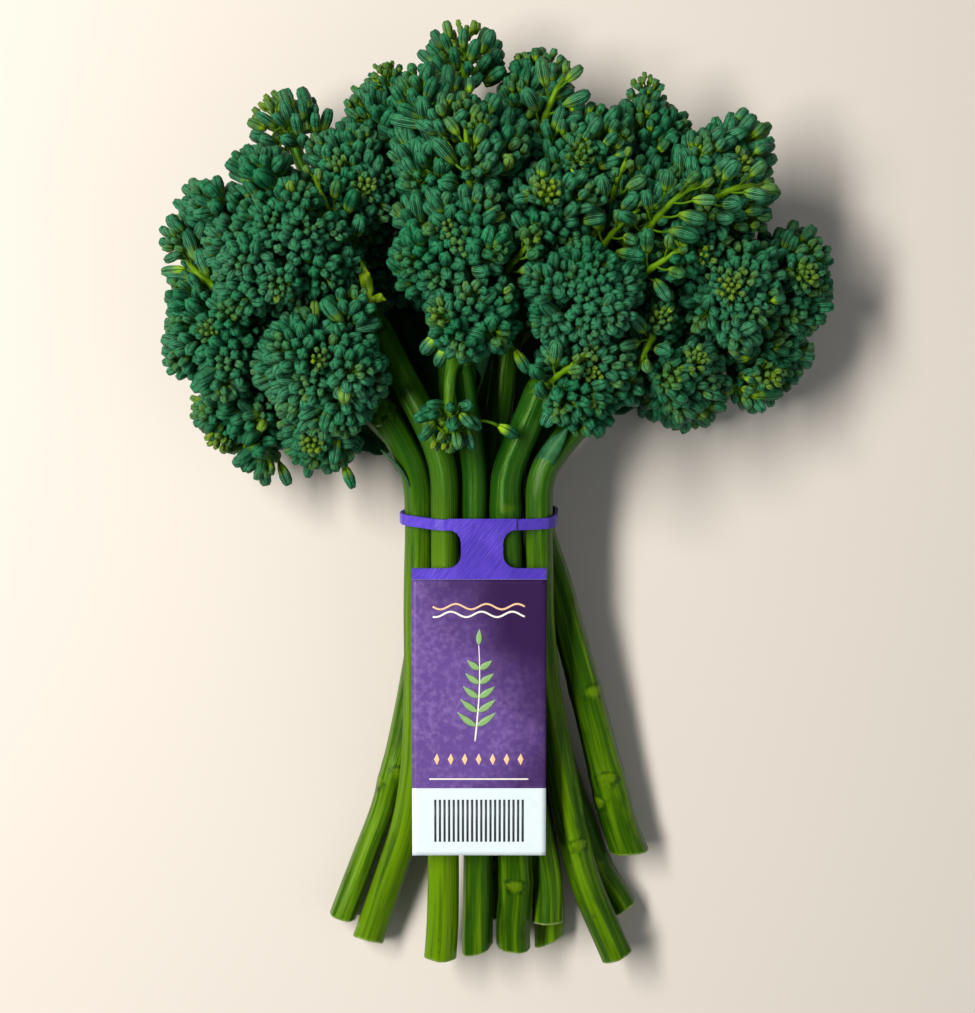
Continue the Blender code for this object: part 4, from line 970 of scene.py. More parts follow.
# A floret's clumps, on a sunflower spiral round the youngest one: their ways from its middle, how grown they
# are, how near its rim, their balls' radii, and how far out their tops are. They rise beside a groove.
def clumpsOf(radius, axis, spacing, widest, room, style, look, random):
    def grownAt(away):
        return smooth(away * radius, look["youngReach"], look["oldReach"])

    def gapAt(away):
        return between(look["youngGap"], spacing, grownAt(away))

    away = spiralAngles(radius, lambda a: 0.9 * gapAt(a) ** 2, widest)
    ways, gaps = spiralWays(axis, away, random), gapAt(away)
    ways = unit(ways + random.normal(0, look["clumpWobble"], ways.shape) * (gaps / radius)[:, None])
    balls = style["clumpRadius"] * gaps * random.uniform(0.93, 1.08, len(away))
    tops = radius * between(look["lowest"], look["high"], random.uniform(0, 1, len(away)) ** look["few"])
    beside = (ways @ room[0][1:-5].T).max(1) if len(room[0]) > 6 else np.zeros(len(away))
    groove = smooth(beside, 0.05, 0.60) * smooth(ways[:, 2], -0.05, 0.35)
    tops = np.minimum(tops * (1 + look["grooveRise"] * groove), reachAlong(ways, radius * look["spread"], room))
    clear = tops > look["pressed"] * radius
    rim = smooth(away, look["rimFrom"], look["rimTo"])
    return [a[clear] for a in (ways, grownAt(away), rim, balls, tops)]


# The way from a centre to each point, how far the point is, and how far the room lets it be.
def farAndReach(points, centre, limit, room):
    out = points - centre
    far = np.linalg.norm(out, axis=1)
    return out, far, reachAlong(out / far[:, None], limit, room)


# One floret. Each clump is a cap of a smaller ball, with its buds on a spiral of its own: small in its
# middle, and longer towards its edge, where they lie on their sides. A bud stops at the plane between its
# clump and the next.
def floretShapes(name, j, stalks, look, random):
    stalk = stalks[name]
    centre, floret = stalk["centres"][j], stalk["florets"][j]
    radius, crownTop = floret[3], crownOf(stalk)[1]
    grain, spacing, openness, yellow, young = floretStyle[name, j]
    style = {key: between(*value, openness) for key, value in look.items() if isinstance(value, tuple)}
    axis = facingOf(centre, floret, crownTop, young)
    room = withBox(centre, roomRound(name, j, stalks, look["spread"]))
    outer = radius * look["spread"]
    widest = look["underWidest"] if young is not None and len(young) == 3 else look["widest"]
    clumpWays, grown, rim, balls, tops = clumpsOf(radius, axis, spacing, widest, room, style, look, random)
    hearts = centre + clumpWays * (tops - balls)[:, None]
    widths = between(look["youngWidth"], grain, grown) * (1 + look["rimWidth"] * rim)

    cap = 1 - math.cos(style["clumpAngle"])
    cell = (style["packing"] + look["rimPacking"] * rim) * (0.93 * widths) ** 2
    counts = np.maximum(4, np.round(2 * math.pi * balls**2 * cap / cell)).astype(int)
    mine = np.repeat(np.arange(len(counts)), counts)
    order = np.arange(counts.sum()) - np.repeat(np.cumsum(counts) - counts, counts)
    share = (order + 0.5) / counts[mine]
    turn = order * goldenAngle + random.uniform(0, anyTurn, len(counts))[mine]
    lean = unit(clumpWays + 0.10 * random.normal(0, 1, clumpWays.shape))[mine]
    along = 1 - share ** style["heartCrowd"] * cap
    ways = along[:, None] * lean + np.sqrt(1 - along**2)[:, None] * squareTo(lean, turn)
    many = len(ways)
    width = widths[mine] * between(style["heartWidth"], style["edgeWidth"], share ** 0.8)
    width *= random.uniform(0.87, 1.13, many)

    apart = hearts[None] - hearts[:, None]
    far = np.maximum(np.linalg.norm(apart, axis=2), 1e-6)
    meet = (far**2 + balls[:, None] ** 2 - balls[None] ** 2) / (2 * far) + 1e9 * np.eye(len(hearts))
    toward = np.einsum("bd,bkd->bk", ways, (apart / far[..., None])[mine])
    stop = (meet[mine] + style["lap"] * width[:, None]) / np.maximum(toward, 0.05)
    limit = np.where(toward > 0.05, stop, 1e9).min(1)
    reach = balls[mine] * (1 - style["uneven"] * random.uniform(0, 1, many))
    clear = limit > style["crowded"] * reach
    tips = hearts[mine] + ways * np.minimum(reach, limit)[:, None]
    out, outFar, outReach = farAndReach(tips, centre, outer, room)
    clear &= outReach > 0.80 * outFar
    tips = centre + out * np.minimum(1, outReach / outFar)[:, None]

    bend = style["gather"] * clumpWays[mine] + random.normal(0, style["jitter"], (many, 3))
    axes = unit(ways + bend + style["comb"] * unit(centre - crownTop))
    old = grown[mine] * smooth(share, 0.0, 0.5)
    ratio = between(look["youngRatio"], style["ratio"], old) + look["rimRatio"] * rim[mine]
    length = width * ratio * random.uniform(0.90, 1.12, many)
    giant = (random.uniform(0, 1, many) < style["giants"]) & (old > 0.5)
    width = np.where(giant, look["giantSize"] * width, width)
    length = np.where(giant, look["giantSize"] * length, length)
    feet = tips - axes * length[:, None]
    clear &= (tips[:, 2] > 0.5 * width + 0.1) & (feet[:, 2] > 0.4)
    feet, axes, length, width, share, mine, ways, giant = (
        a[clear] for a in (feet, axes, length, width, share, mine, ways, giant))

    feet, tips, clear = pressApart(feet, feet + axes * length[:, None], width, centre)
    late = fillGaps(feet[clear], tips[clear], width[clear], centre, radius, axis, grain, room, openness, random)
    added = len(late[0])
    feet, tips, width = (np.concatenate([a, b]) for a, b in zip((feet, tips, width), late))
    clear = np.concatenate([clear, np.ones(added, bool)])
    giant = np.concatenate([giant, np.zeros(added, bool)])
    tipWays = unit(tips - centre)[len(mine):]
    share = np.concatenate([share, np.full(added, 0.5)])
    mine = np.concatenate([mine, (tipWays @ clumpWays.T).argmax(1)])
    ways = np.vstack([ways, tipWays])
    length, axes = np.linalg.norm(tips - feet, axis=1), unit(tips - feet)
    out, outFar, outReach = farAndReach(tips, centre, outer, room)
    inset = np.maximum(0, outFar - outReach)
    tips -= out / outFar[:, None] * inset[:, None]
    feet -= out / outFar[:, None] * inset[:, None]
    clear &= (inset < look["mostInset"]) & (tips[:, 2] > 0.5 * width + 0.1) & (feet[:, 2] > 0.5 * width)
    clear &= clearOfSprigs(feet, tips, width)
    feet, axes, length, width, share, mine, ways, giant = (
        a[clear] for a in (feet, axes, length, width, share, mine, ways, giant))

    many, fresh = len(feet), 1 - grown[mine]
    heart = (1 - smooth(share, 0.05 + 0.20 * fresh, 0.32 + 0.45 * fresh)) * (0.35 + 0.65 * fresh)
    youth = yellow * heart * random.uniform(0.3 + 0.3 * fresh, 1.0)
    youth = youth + 0.5 * (random.uniform(0, 1, many) < look["strayYoung"])
    footShare = 0.30 + 0.50 * openness + 0.35 * giant + look["rimFoot"] * rim[mine]
    footShare = np.clip(footShare + random.normal(0, 0.28, many), 0, 1)
    tones = toneOf(random.uniform(0, 1, many), np.clip(youth, 0, 1), footShare)
    buds = budShapes(feet, axes, length, width, random.uniform(0, anyTurn, many), tones)

    roots = hearts[mine] + clumpWays[mine] * (balls[mine] * (0.12 - 0.70 * share))[:, None]
    gap = np.linalg.norm(feet - roots, axis=1)[:, None]
    ends = feet + axes * (0.15 * length)[:, None]
    lines = bentLines(roots, feet - axes * gap * 0.45, ends, 3 + 2 * (openness > 0.6))
    thick = (look["pedicel"] * width + 0.02)[:, None] * np.linspace(0.95, 1.12, lines.shape[1])
    pale = np.clip(0.10 + 0.55 * openness + 0.5 * youth + random.normal(0, 0.2, many), 0, 1)
    pedicels = tube(lines, thick[..., None], 4, unit(np.cross(axes, ways + 0.01))[:, None],
                    toneOf(random.uniform(0, 1, many), pale, 0.0))

    start = np.broadcast_to(centre - axis * 0.22 * radius, hearts.shape)
    bends = start + clumpWays * 0.25 * radius + axis * 0.15 * radius
    lines = bentLines(start, bends, hearts + clumpWays * (0.25 * balls)[:, None], 6)
    thick = np.linspace(0.080, 0.045, 6)[None, :, None] * radius
    twigs = tube(lines, thick, 7, unit(np.cross(clumpWays, axis + 0.013))[:, None],
                 (0.5, 0.20 + 0.5 * openness, 0.0))
    return buds, [pedicels, twigs]


# The way that a spray faces where it isn't the one of its solid.
sprayFacing = {("03", 2): (-0.75, 0.60, 0.30)}

sprayLook = {
    "width": 3.2, "widthSpread": (0.85, 1.15), "youngShare": 0.5, "ratio": (1.5, 2.1), "ratioSpread": (0.92, 1.1),
    "widest": math.radians(108), "cell": 3.6, "least": 0.55, "forward": 0.65, "wobble": 0.12, "thick": (1.3, 0.7),
    "pedicel": 0.40, "profile": (1.1, 0.95, 0.85, 0.85, 0.95, 1.3), "sink": 0.5, "youngThick": 0.6,
}


# An open floret: long buds on bare pedicels that leave its axis one above the other. They are small and
# crowded at its tip, and lean forward along it.
def sprayShapes(name, j, stalks, look, random):
    stalk = stalks[name]
    centre, floret = stalk["centres"][j], stalk["florets"][j]
    radius = floret[3]
    facing = np.array(sprayFacing.get((name, j), floret[4]))
    axis = unit(unit(facing) + floretLook["facingOut"] * unit(centre - crownOf(stalk)[1]))
    room = withBox(centre, roomRound(name, j, stalks, 1.0))

    def oldAt(away):
        return smooth(away, 0.15, 0.75)

    def widthAt(away):
        return look["width"] * between(look["youngShare"], 1, oldAt(away))

    away = spiralAngles(radius, lambda a: look["cell"] * widthAt(a) ** 2, look["widest"])
    ways = spiralWays(axis, away, random)
    reach = reachAlong(ways, radius, room) * random.uniform(0.80, 1.0, len(ways))
    clear = reach > look["least"] * radius
    ways, away, reach = ways[clear], away[clear], reach[clear]
    many, old = len(ways), oldAt(away)
    width = widthAt(away) * random.uniform(*look["widthSpread"], many)
    length = width * between(*look["ratio"], old) * random.uniform(*look["ratioSpread"], many)
    axes = unit(ways + axis * look["forward"] + random.normal(0, look["wobble"], (many, 3)))
    feet = centre + ways * reach[:, None] - axes * length[:, None]
    young = (1 - old) * random.uniform(0.4, 0.9, many)
    tones = toneOf(random.uniform(0, 1, many), young, random.uniform(0.5, 1, many))
    buds = budShapes(feet, axes, length, width, random.uniform(0, anyTurn, many), tones)
    roots = centre + axis * (radius * (0.42 - 0.62 * away / look["widest"]))[:, None]
    bends = roots + (ways * 0.6 + axis * 0.1) * np.linalg.norm(feet - roots, axis=1)[:, None]
    tone = toneOf(random.uniform(0, 1, many), random.uniform(0.2, 0.8, many), 0.0)
    pedicels, _ = barePedicels(feet, axes, roots, bends, look, old, ways + (0.02, 0.05, 0.01), tone)
    spine = (centre - axis * 0.2 * radius + axis * np.linspace(0, 0.72 * radius, 6)[:, None])[None]
    thick = np.linspace(*look["thick"], 6)[:, None]
    return buds, [pedicels, tube(spine, thick, 10, unit(np.cross(axis, (0.3, 0.2, 0.9))), (0.4, 0.7, 0.0))]


branchLook = {
    "crownFrom": -0.1, "crownStations": 8, "crownSides": 20, "stations": 16, "sides": 12, "fork": (0.90, 1.9),
    "swell": 0.25, "swellAt": 0.25, "swellLength": 0.15, "ridges": 4, "ridgeHeight": 0.06, "crownYellow": 0.25,
    "yellow": 0.6,
    "crownProfile": [(-0.1, 0.98), (0.0, 1.02), (0.5, 1.02), (0.85, 0.84), (1.0, 0.45)],
}


# The crown and its branches: tubes that swell a little where they fork.
def branchShapes(stalk, look, random, openness):
    foot, top, heading = crownOf(stalk)
    wide = stalk["radii"][-1]
    shares = np.linspace(look["crownFrom"], 1.0, look["crownStations"])
    line = foot + (top - foot) * shares[:, None]
    swell = wide * np.interp(shares, *np.array(look["crownProfile"]).T)
    reference = unit(np.cross(heading, (0.9, 0.1, 0.2)))
    tone = (random.uniform(0, 1), look["crownYellow"] * openness**2, 0.0)
    shapes = [tube(line[None], swell[:, None], look["crownSides"], reference, tone)]
    along = np.linspace(0, 1, look["stations"])
    angle = 2 * math.pi * np.arange(look["sides"]) / look["sides"]
    for line, radii in branchesOf(stalk, look["stations"]):
        start, end = unit(line[1] - line[0]), unit(line[-1] - line[-2])
        normal = np.cross(start, end)
        isBent = np.linalg.norm(normal) > 0.02
        reference = unit(normal) if isBent else unit(np.cross(start, (0.2, 0.3, 0.9)))
        bulge = np.exp(-((along - look["swellAt"]) / look["swellLength"]) ** 2)
        fork = wide * (look["fork"][0] - look["fork"][1] * along)
        swollen = np.maximum(radii, fork) + look["swell"] * radii * bulge
        ridged = swollen[:, None] * (1 + look["ridgeHeight"] * np.cos(look["ridges"] * angle + 2 * along[:, None]))
        tone = (random.uniform(0, 1), look["yellow"] * openness**2 * random.uniform(0.5, 1.3), 0.0)
        shapes.append(tube(line[None], ridged, look["sides"], reference, tone, along * pathLength(line) / 10))
    return shapes


# Single buds that hang clear of the heads: stalk, floret, tip (x, y, z), length and width.
hangingPlan = [
    ("02", 1, (-64.0, 8.8, 18), 6.4, 3.2), ("02", 1, (-58.3, 5.2, 18), 6.8, 3.4),
    ("02", 1, (-52.4, 5.4, 17), 6.8, 3.4), ("02", 2, (-47.3, 7.4, 21), 6.4, 3.2),
    ("02", 2, (-41.4, 8.2, 23), 6.4, 3.1), ("02", 2, (-35.2, 4.6, 20), 7.0, 3.4),
    ("06", 1, (28.6, 17.5, 30), 7.6, 4.2), ("06", 1, (14.2, 20.0, 36), 8.0, 4.8),
    ("05", 2, (7.6, 17.6, 37), 5.8, 3.6), ("10", 0, (58.6, 23.5, 17), 6.2, 2.9),
    ("10", 0, (47.0, 20.5, 20), 6.4, 3.1), ("10", 0, (52.0, 19.5, 20), 6.6, 3.4),
    ("10", 2, (70.5, 24.5, 14), 7.2, 3.8), ("10", 2, (75.5, 26.5, 13), 6.6, 3.4),
    ("05", 1, (-16.5, 38.5, 36), 6.6, 3.8), ("05", 1, (-13.0, 35.5, 35), 6.0, 3.6),
    ("05", 1, (10.5, 33.5, 38), 7.0, 3.8),
]
hangingLook = {
    "droop": (0, -0.35, -0.15), "bend": 5.0, "root": 0.25, "pedicel": 0.42,
    "profile": (1.1, 0.95, 0.9, 0.9, 1.0, 1.3), "sink": 0.5, "youngThick": 1.0,
}


def hangingShapes(name, stalks, look):
    florets, tips, length, width = (np.array(a, float) for a in zip(*(h[1:] for h in hangingPlan if h[0] == name)))
    centres = stalks[name]["centres"][florets.astype(int)]
    many = len(tips)
    axes = unit(unit(tips - centres) + np.array(look["droop"]))
    feet = tips - axes * length[:, None]
    tones = toneOf(np.linspace(0.2, 0.9, many), 0.0, 0.95)
    buds = budShapes(feet, axes, length, width, np.linspace(0, 3, many), tones)
    roots = centres + (feet - centres) * look["root"]
    pedicels, _ = barePedicels(feet, axes, roots, feet - axes * look["bend"], look, np.ones(many),
                               (0.9, 0.1, 0.3), (0.5, 0.5, 0.0))
    balls, girths = ballsOf(feet, tips, width)
    return buds, [pedicels], balls.reshape(-1, 3), girths.ravel()


random = np.random.default_rng(900)
sprigs = [(name, *sprigShapes(line, many, reach, sprigLook, random)) for name, line, many, reach in sprigPlan]
sprigs += [(name, *hangingShapes(name, stalks, hangingLook)) for name in dict.fromkeys(h[0] for h in hangingPlan)]
sprigBalls, sprigGirths = np.vstack([s[3] for s in sprigs]), np.concatenate([s[4] for s in sprigs])

budCount = 0
for number, (name, stalk) in enumerate(stalks.items()):
    random = np.random.default_rng(500 + number)
    budParts = [part for s in sprigs if s[0] == name for part in s[1]]
    woodParts = [part for s in sprigs if s[0] == name for part in s[2]]
    openness = np.mean([style[2] for (stalkName, _), style in floretStyle.items() if stalkName == name])
    woodParts += branchShapes(stalk, branchLook, random, openness)
    for j, floret in enumerate(stalk["florets"]):
        make, look = (sprayShapes, sprayLook) if floret[5] else (floretShapes, floretLook)
        buds, wood = make(name, j, stalks, look, random)
        budParts += buds
        woodParts += wood
    budCount += sum(batch["count"] for batch in budParts)
    addPiece("headBuds_" + name, budParts, [budSkin], ["head_" + name])
    addPiece("headBranches_" + name, woodParts, [branchSkin])
print("heads built:", budCount, "buds")

# Small leaves beside the stems: stalk, y where it starts, degrees round the stem, length, width, lift.
leafPlan = [("02", 2, 160, 17, 5.4, 2.2), ("10", 7, 105, 14, 5.0, 2.2)]
# Larger leaves under the heads: foot, bend, tip (x, y, z), width and how far the blade leans to its side. Leaves
# do lie among the stems, but these are placed where the floor would show between the heads, and their near-black
# colour is painted shade.
bladePlan = [
    ((-15, 12, 9.5), (-24, 30, 5.0), (-29, 56, 4.0), 19, 0.3),
    ((-7, 14, 6), (-14, 34, 3.0), (-18, 60, 3.0), 20, -0.2),
    ((1, 16, 6), (-1, 34, 3.0), (-3, 54, 2.5), 15, 0.2),
    ((5, 16, 8), (11, 34, 4.0), (11, 56, 3.5), 16, 0.2),
    ((20, 22, 7), (31, 38, 3.5), (40, 56, 2.5), 17, -0.3),
    ((24, 24, 16), (40, 34, 6.0), (55, 50, 3.0), 16, 0.2),
    ((-20, 14, 12), (-34, 22, 5.0), (-47, 30, 3.0), 13, -0.3),
    ((-8, 50, 6), (-18, 68, 4.0), (-25, 90, 3.0), 17, 0.2),
    ((14, 52, 6), (28, 66, 4.0), (41, 78, 3.0), 17, -0.2),
    ((34, 42, 9), (46, 52, 5.0), (54, 70, 3.0), 17, -0.2),
    ((2, 50, 6), (4, 72, 4.0), (2, 96, 3.0), 15, 0.2),
    ((-16, 36, 6), (-22, 48, 4.0), (-27, 64, 3.0), 12, 0.3),
]
# A yellow bract that peeps out between two heads.
bractPlan = [
    ((-29.4, 51.5, 38), (-30.2, 56.0, 41.0), (-31.6, 61.5, 43.0), 3.6, 0.4),
    ((-29.0, 52.0, 38), (-27.2, 52.6, 41.0), (-25.6, 51.6, 41.5), 2.6, -0.5),
]
leafLook = {"sides": 14, "stations": 22, "bladeStations": 30, "tuck": 1.6, "thick": 0.42, "bladeThick": 0.9}
# Leaf colours kept near black: painted shade under the heads.
shadedLeafColours = {"blade": (0.004, 0.036, 0.012), "vein": (0.040, 0.130, 0.040), "edge": (0.010, 0.070, 0.022)}
bractColours = {"blade": (0.210, 0.400, 0.004), "vein": (0.420, 0.600, 0.060), "edge": (0.330, 0.480, 0.010)}


# A leaf's skin: a pale midrib, faint side veins that slant off it, and a mottled blade.
def leafMaterial(name, colours):
    skin = Skin(name, colours, 0.50, Specular_IOR_Level=0.25, Specular_Tint=(0.40, 1.0, 0.50, 1))
    u, v, _ = skin.uv().parts()
    rib = (u + 0.25).calc("PINGPONG", 0.25)
    sideVeins = (v * 60.0 + rib * 40.0).calc("SINE")
    mottled = skin.place().noise(500.0, 3.0)
    skin.start("blade", "edge", mottled.ease(0.3, 0.7))
    skin.cover("vein", sideVeins.ease(0.7, 1.0) * 0.12)
    skin.cover("vein", (1.0 - rib.ease(0.01, 0.05)) * 0.7)
    return skin.finish(mottled + sideVeins * 0.15, 0.2, 0.0003)


# A leaf: a flat profile carried beside its stem. Its half width is a rounded arch of the distance along it
# that ends in a point, and it stands further off the stem towards its tip.
def leafShape(name, startY, degrees, length, width, lift):
    stalk, look = stalks[name], leafLook
    line, radii = evenPoints(stalk["line"], 200), evenValues(stalk["radii"], 200)
    run = np.linspace(0, pathLength(line), 200)
    start = run[np.argmin(np.abs(line[:, 1] - startY))]
    shares = np.linspace(0, 1, look["stations"])
    at = np.stack([np.interp(start + shares * length, run, line[:, k]) for k in range(3)], axis=1)
    heading = headingOf(at)
    side = unit(np.cross(heading, skyWay))
    turn = math.radians(degrees)
    out = math.cos(turn) * side + math.sin(turn) * np.cross(side, heading)
    stand = np.interp(start, run, radii) - look["tuck"] + (look["tuck"] + lift) * shares**1.3
    halfWide = 0.5 * width * (np.sin(math.pi * shares**0.8) ** 0.8 * 0.94 + 0.06)
    halfHigh = look["thick"] * (1 - 0.5 * shares)
    return carry((at + out * stand[:, None])[None], halfWide[:, None], halfHigh[:, None], look["sides"],
                 out[None], lengthwise=shares, startAngle=0.0)


# A larger leaf: the same profile on a bent line, its edge waved by a sine of the distance along it.
def bladeShape(foot, bend, tip, width, lean):
    look = leafLook
    shares = np.linspace(0, 1, look["bladeStations"])
    spine = bentLines(*(np.array([p], float) for p in (foot, bend, tip)), look["bladeStations"])
    normal = unit(np.array([lean, 0.15, 1.0]))
    wide = np.sin(math.pi * np.clip((shares - 0.12) / 0.88, 0, 1) ** 0.75) ** 0.9
    halfWide = np.maximum(0.5 * width * wide * (1 + 0.07 * np.sin(31 * shares)), 0.9 - 0.7 * shares)
    halfHigh = look["bladeThick"] - 0.6 * smooth(shares, 0.05, 0.35)
    spine[0, :, 2] += 0.5 * np.sin(13 * shares)
    return carry(spine, halfWide[:, None], halfHigh[:, None], look["sides"], normal,
                 lengthwise=shares, startAngle=0.0)


shadedLeafSkin = leafMaterial("shadedLeafSkin", shadedLeafColours)
addPiece("smallLeaves", [leafShape(*leaf) for leaf in leafPlan], [shadedLeafSkin])
addPiece("underLeaves", [bladeShape(*blade) for blade in bladePlan], [shadedLeafSkin])
bractSkin = leafMaterial("bractSkin", bractColours)
addPiece("yellowBract", [bladeShape(*blade) for blade in bractPlan], [bractSkin])
print("leaves built")

tagColours = {"film": (0.062, 0.027, 0.400), "light": (0.098, 0.050, 0.520), "dark": (0.036, 0.014, 0.270)}


# The strap and tag: a violet film whose fine slanting grain and soft creases change its shade. Its creases are
# painted lighter as soft highlights, and its right side is painted darker as shade.
def filmMaterial(colours):
    skin = Skin("violetFilm", colours, 0.38, Specular_IOR_Level=0.35, Coat_Weight=0.12, Coat_Roughness=0.3)
    place = skin.place()
    slanted = place.mapped(Rotation=(0, 0, math.radians(38))).mapped(Scale=(1500.0, 240.0, 400.0))
    grain, crease = slanted.noise(1.0), place.noise(95.0)
    # Lighter over the soft creases: a painted soft highlight.
    skin.start("film", "light", crease.ease(0.35, 0.70))
    skin.cover("dark", grain.ease(0.45, 0.75) * 0.45)
    # Darker on the right side: painted shade.
    skin.cover("dark", place.parts()[0].ease(-0.004, 0.010) * 0.40)
    return skin.finish(grain + crease, 0.25, 0.0006)


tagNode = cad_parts["tag"]
tagNode.data.materials.clear()
tagNode.data.materials.append(filmMaterial(tagColours))

cardLook = {
    "columns": 24, "rows": 60, "panelFrom": 0.754, "bow": 0.12, "ripple": 0.05, "thicker": 0.24,
    "endZone": 1.0, "inkHeight": 0.035,
}
# The card's dark is painted shade; the other colours are its own ground and inks.
cardColours = {
    "ground": (0.110, 0.056, 0.250), "pale": (0.215, 0.125, 0.370), "dark": (0.026, 0.005, 0.058),
    "panel": (0.700, 0.800, 0.830), "cream": (0.900, 0.860, 0.780), "peach": (0.870, 0.560, 0.330),
    "ink": (0.030, 0.035, 0.045), "leaf": (0.240, 0.420, 0.160),
}
# The prints, in the order of the card's material slots after its ground: material, colour, shade of the specks.
inkPlan = [
    ("cardPanel", "panel", 0.96), ("inkCream", "cream", 0.92), ("inkPeach", "peach", 0.90),
    ("inkDark", "ink", 1.5), ("inkLeaf", "leaf", 0.85),
]
inkSlots = {colour: slot + 1 for slot, (_, colour, _) in enumerate(inkPlan)}


# The card's own directions and size, from the solid's corners: length, width and thickness are its main axes.
def cardFrame():
    co = np.array([v.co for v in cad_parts["label"].data.vertices]) / mm + planMiddle
    middle = (co.min(0) + co.max(0)) / 2
    across = np.array([1.0, 0.0, 0.0])
    tallest = co[np.argmax(co[:, 1])] - co[np.argmin(co[:, 1])]
    spread = (co - middle) @ -unit(np.array([0.0, tallest[1], tallest[2]]))
    lower = co[spread > spread.max() - cardLook["endZone"]]
    upper = co[spread < spread.min() + cardLook["endZone"]]
    down = unit(lower.mean(0) - upper.mean(0))
    normal = np.cross(across, -down)
    return middle, across, down, normal, [np.ptp((co - middle) @ way) for way in (across, down, normal)]


cardMiddle, cardAcross, cardDown, cardNormal, cardSizes = cardFrame()


# A point of the card's face: x and y in millimetres from its top left corner, bowed up a little at its edges.
def onCard(x, y, above=0.0):
    x, y = np.asarray(x, float), np.asarray(y, float)
    u, v = x / cardSizes[0] - 0.5, y / cardSizes[1] - 0.5
    ripple = cardLook["ripple"]
    lift = cardLook["bow"] * (4 * u**2 - 1) * 0.5 - ripple + ripple * np.sin(9 * v + 3 * u)
    fromLeft, fromTop = (x - cardSizes[0] / 2)[..., None], (y - cardSizes[1] / 2)[..., None]
    flat = cardMiddle + cardAcross * fromLeft + cardDown * fromTop
    return flat + cardNormal * (cardSizes[2] / 2 + lift + above)[..., None]


# The card: a grid on its face, the same grid below it, and a wall round the edge, as one closed shell.
def cardShape(look):
    columns, rows = look["columns"], look["rows"]
    split, wide = round(rows * look["panelFrom"]), columns + 1
    lower = np.linspace(look["panelFrom"], 1, rows - split + 1)[1:]
    v = np.concatenate([np.linspace(0, look["panelFrom"], split + 1), lower])
    x = np.linspace(0, 1, wide)[None, :] * cardSizes[0] + 0 * v[:, None]
    y = v[:, None] * cardSizes[1] + 0 * x
    face, back = onCard(x, y), onCard(x, y, -cardSizes[2] - look["thicker"])
    count = (rows + 1) * wide
    a = np.arange(rows)[:, None] * wide + np.arange(columns)[None, :]
    quads = np.stack([a + wide, a + wide + 1, a + 1, a], axis=-1).reshape(-1, 4)
    uv = np.stack([x / cardSizes[0], 1 - y / cardSizes[1]], axis=-1).reshape(-1, 2)
    edge = np.concatenate([
        np.arange(columns), columns + np.arange(rows) * wide, count - 1 - np.arange(columns),
        rows * wide - np.arange(rows) * wide])
    following = np.roll(edge, -1)
    walls = np.stack([edge, following, following + count, edge + count], axis=-1)
    isPanel = np.arange(rows * columns) // columns >= split
    faces = []
    for chosen, slot in ((~isPanel, 0), (isPanel, inkSlots["panel"])):
        top, under = quads[chosen], quads[chosen][:, ::-1]
        faces += [(top, uv[top], True, slot), (under + count, uv[under], True, slot)]
    faces.append((walls, uv[walls % count], False, inkSlots["panel"]))
    points = np.vstack([face.reshape(-1, 3), back.reshape(-1, 3)])
    return {"points": points, "faces": faces, "tone": (0.5, 0.0, 0.0)}


# A printed line: a flat ribbon that lies on the card along a path, as wide as the widths say.
def inkRibbon(x, y, widths, ink):
    line = onCard(*np.broadcast_arrays(np.asarray(x, float), y))
    half = np.broadcast_to(np.asarray(widths, float) / 2, (len(line),))[:, None]
    ribbon = carry(line[None], half, np.full_like(half, cardLook["inkHeight"]), 6, cardNormal, startAngle=0.0)
    ribbon["look"] = inkSlots[ink]
    return ribbon


# The width of a printed leaf: a sine of the distance along it, from 0 to 1.
def lensWidths(s, width):
    return width * np.sin(math.pi * s**0.8) + 0.05


# A sprig: a curved stem with pairs of leaves, each a lens, and one at its tip.
def cardSprig(x, y, height, pairs, stemInk, leafInk):
    t, s = np.linspace(0, 1, 20), np.linspace(0, 1, 12)
    stemX, stemY = x + 1.2 * np.sin(2.2 * t), y - height * t
    shapes = [inkRibbon(stemX, stemY, 0.5 - 0.25 * t, stemInk)]
    for k in range(pairs):
        at = 0.16 + 0.74 * k / pairs
        footX, footY = x + 1.2 * math.sin(2.2 * at), y - height * at
        size = 5.4 * (1 - 0.45 * k / pairs)
        for side in (-1, 1):
            leafX = footX + side * size * (s * 0.92)
            leafY = footY - size * (0.42 * s + 0.25 * s**2)
            shapes.append(inkRibbon(leafX, leafY, lensWidths(s, 1.9), leafInk))
    shapes.append(inkRibbon(stemX[-1] + 0.2 * s, stemY[-1] - 4.2 * s, lensWidths(s, 1.7), leafInk))
    return shapes


# The card's ground: paler on the left, darker towards its upper right corner and low on the right, and mottled.
# The darkening to the right is painted shade.
def groundMaterial(colours):
    skin = Skin("cardGround", colours, 0.42, Specular_IOR_Level=0.22, Coat_Weight=0.05, Coat_Roughness=0.25)
    place, (u, v, _) = skin.place(), skin.uv().parts()
    broad, fine = place.noise(45.0), place.noise(650.0, 3.0)
    shaken = (broad - 0.5) * 0.7
    corner = u * 0.55 + v * 0.9 + shaken
    low = u * 0.5 + shaken - v * 1.6
    skin.start("ground", "pale", (fine + shaken).ease(0.35, 0.85))
    # Painted shade towards the upper right corner and low on the right.
    skin.cover("dark", corner.ease(0.72, 1.25))
    skin.cover("dark", low.ease(-0.35, 0.05) * 0.75)
    return skin.finish(fine, 0.08, 0.0002)


# Plain print: one colour, faintly uneven as ink on film is.
def printMaterial(name, colour, shade):
    colours = {"ink": colour, "speck": tuple(c * shade for c in colour)}
    skin = Skin(name, colours, 0.40, Coat_Weight=0.25, Coat_Roughness=0.2)
    speck = skin.place().noise(700.0, 3.0)
    skin.start("ink", "speck", speck.ease(0.35, 0.8))
    return skin.finish(speck, 0.05, 0.0002)


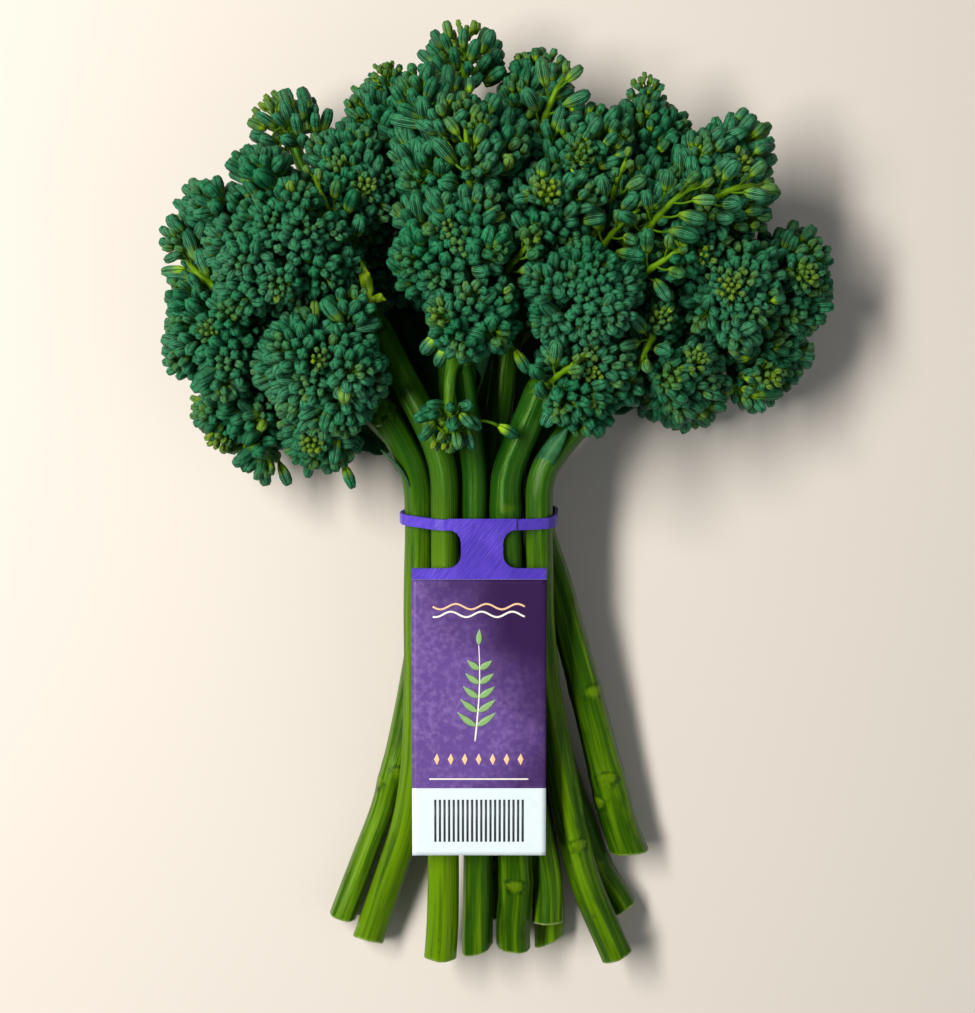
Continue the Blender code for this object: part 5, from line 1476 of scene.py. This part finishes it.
cardMaterials = [groundMaterial(cardColours)]
cardMaterials += [printMaterial(name, cardColours[colour], shade) for name, colour, shade in inkPlan]
addPiece("labelCard", [cardShape(cardLook)], cardMaterials, ["label"])


# The print: two wavy lines, a sprig, a row of lozenges, a thin line, and even bars on the panel.
def cardPrint(width, height):
    panelTop = height * cardLook["panelFrom"]
    wave, s = np.linspace(0, 1, 60), np.linspace(0, 1, 9)
    ink = []
    for k, (y, colour) in enumerate(((7.0, "peach"), (9.0, "cream"))):
        ink.append(inkRibbon(5.5 + (width - 11) * wave, y + 0.7 * np.sin(wave * 18.85 + k), 0.55, colour))
    ink += cardSprig(width / 2 - 1.0, 42.0, 25.0, 5, "cream", "leaf")
    for x in np.linspace(6.5, width - 6.5, 7):
        ink.append(inkRibbon(x, 45.2 + 3.0 * s, 1.7 * (1 - np.abs(2 * s - 1)) + 0.05, "peach"))
    ink.append(inkRibbon(4.5 + (width - 9) * wave, panelTop - 2.4, 0.45, "cream"))
    for x in np.linspace(6.0, width - 6.0, 20):
        ink.append(inkRibbon(x, np.array([panelTop + 3.0, panelTop + 8.0, height - 3.6]), 0.62, "ink"))
    return ink


addPiece("labelPrint", cardPrint(*cardSizes[:2]), cardMaterials)
print("tag and label built")

stageLook = {"floor": (0.66, 0.61, 0.55), "shade": 0.97, "size": 3.0, "below": 0.0002}


def addStage(look):
    colours = {"floor": look["floor"], "second": tuple(c * look["shade"] for c in look["floor"])}
    skin = Skin("paleSurface", colours, 0.75)
    skin.start("floor", "second", skin.place().noise(9.0, 3.0))
    mesh = bpy.data.meshes.new("floor")
    half = look["size"] / 2
    mesh.from_pydata([(-half, -half, 0), (half, -half, 0), (half, half, 0), (-half, half, 0)], [], [(0, 1, 2, 3)])
    mesh.materials.append(skin.finish())
    floor = addObject("floor", mesh)
    floor.location = (0, 0, -look["below"])


# Lights: name, place in metres, width, length, watts, colour. Each lies lengthwise beside the stems, so that
# it draws a bright line along them.
lightPlan = [
    ("keyLight", (-0.50, 0.14, 0.76), 0.15, 0.75, 13.0, (1.0, 0.97, 0.93)),
    ("fillLight", (0.65, -0.35, 0.60), 0.80, 0.80, 1.5, (0.93, 0.97, 1.0)),
]
roomLook = {"colour": (0.95, 0.97, 1.0, 1), "strength": 0.13}


def addLights(plan, room):
    for name, place, width, length, watts, colour in plan:
        light = bpy.data.lights.new(name, "AREA")
        light.shape = "RECTANGLE"
        light.size = width
        light.size_y = length
        light.energy = watts
        light.color = colour
        lamp = addObject(name, light)
        lamp.location = place
        away = lamp.location.normalized()
        across = Vector((0, 1, 0)).cross(away).normalized()
        lamp.rotation_euler = Matrix((across, away.cross(across), away)).transposed().to_euler()
    world = bpy.data.worlds.new("softRoom")
    world.use_nodes = True
    world.node_tree.nodes["Background"].inputs[0].default_value = room["colour"]
    world.node_tree.nodes["Background"].inputs[1].default_value = room["strength"]
    bpy.context.scene.world = world


addStage(stageLook)
addLights(lightPlan, roomLook)
bpy.context.scene.view_settings.view_transform = "Standard"
print("stage and lights set")
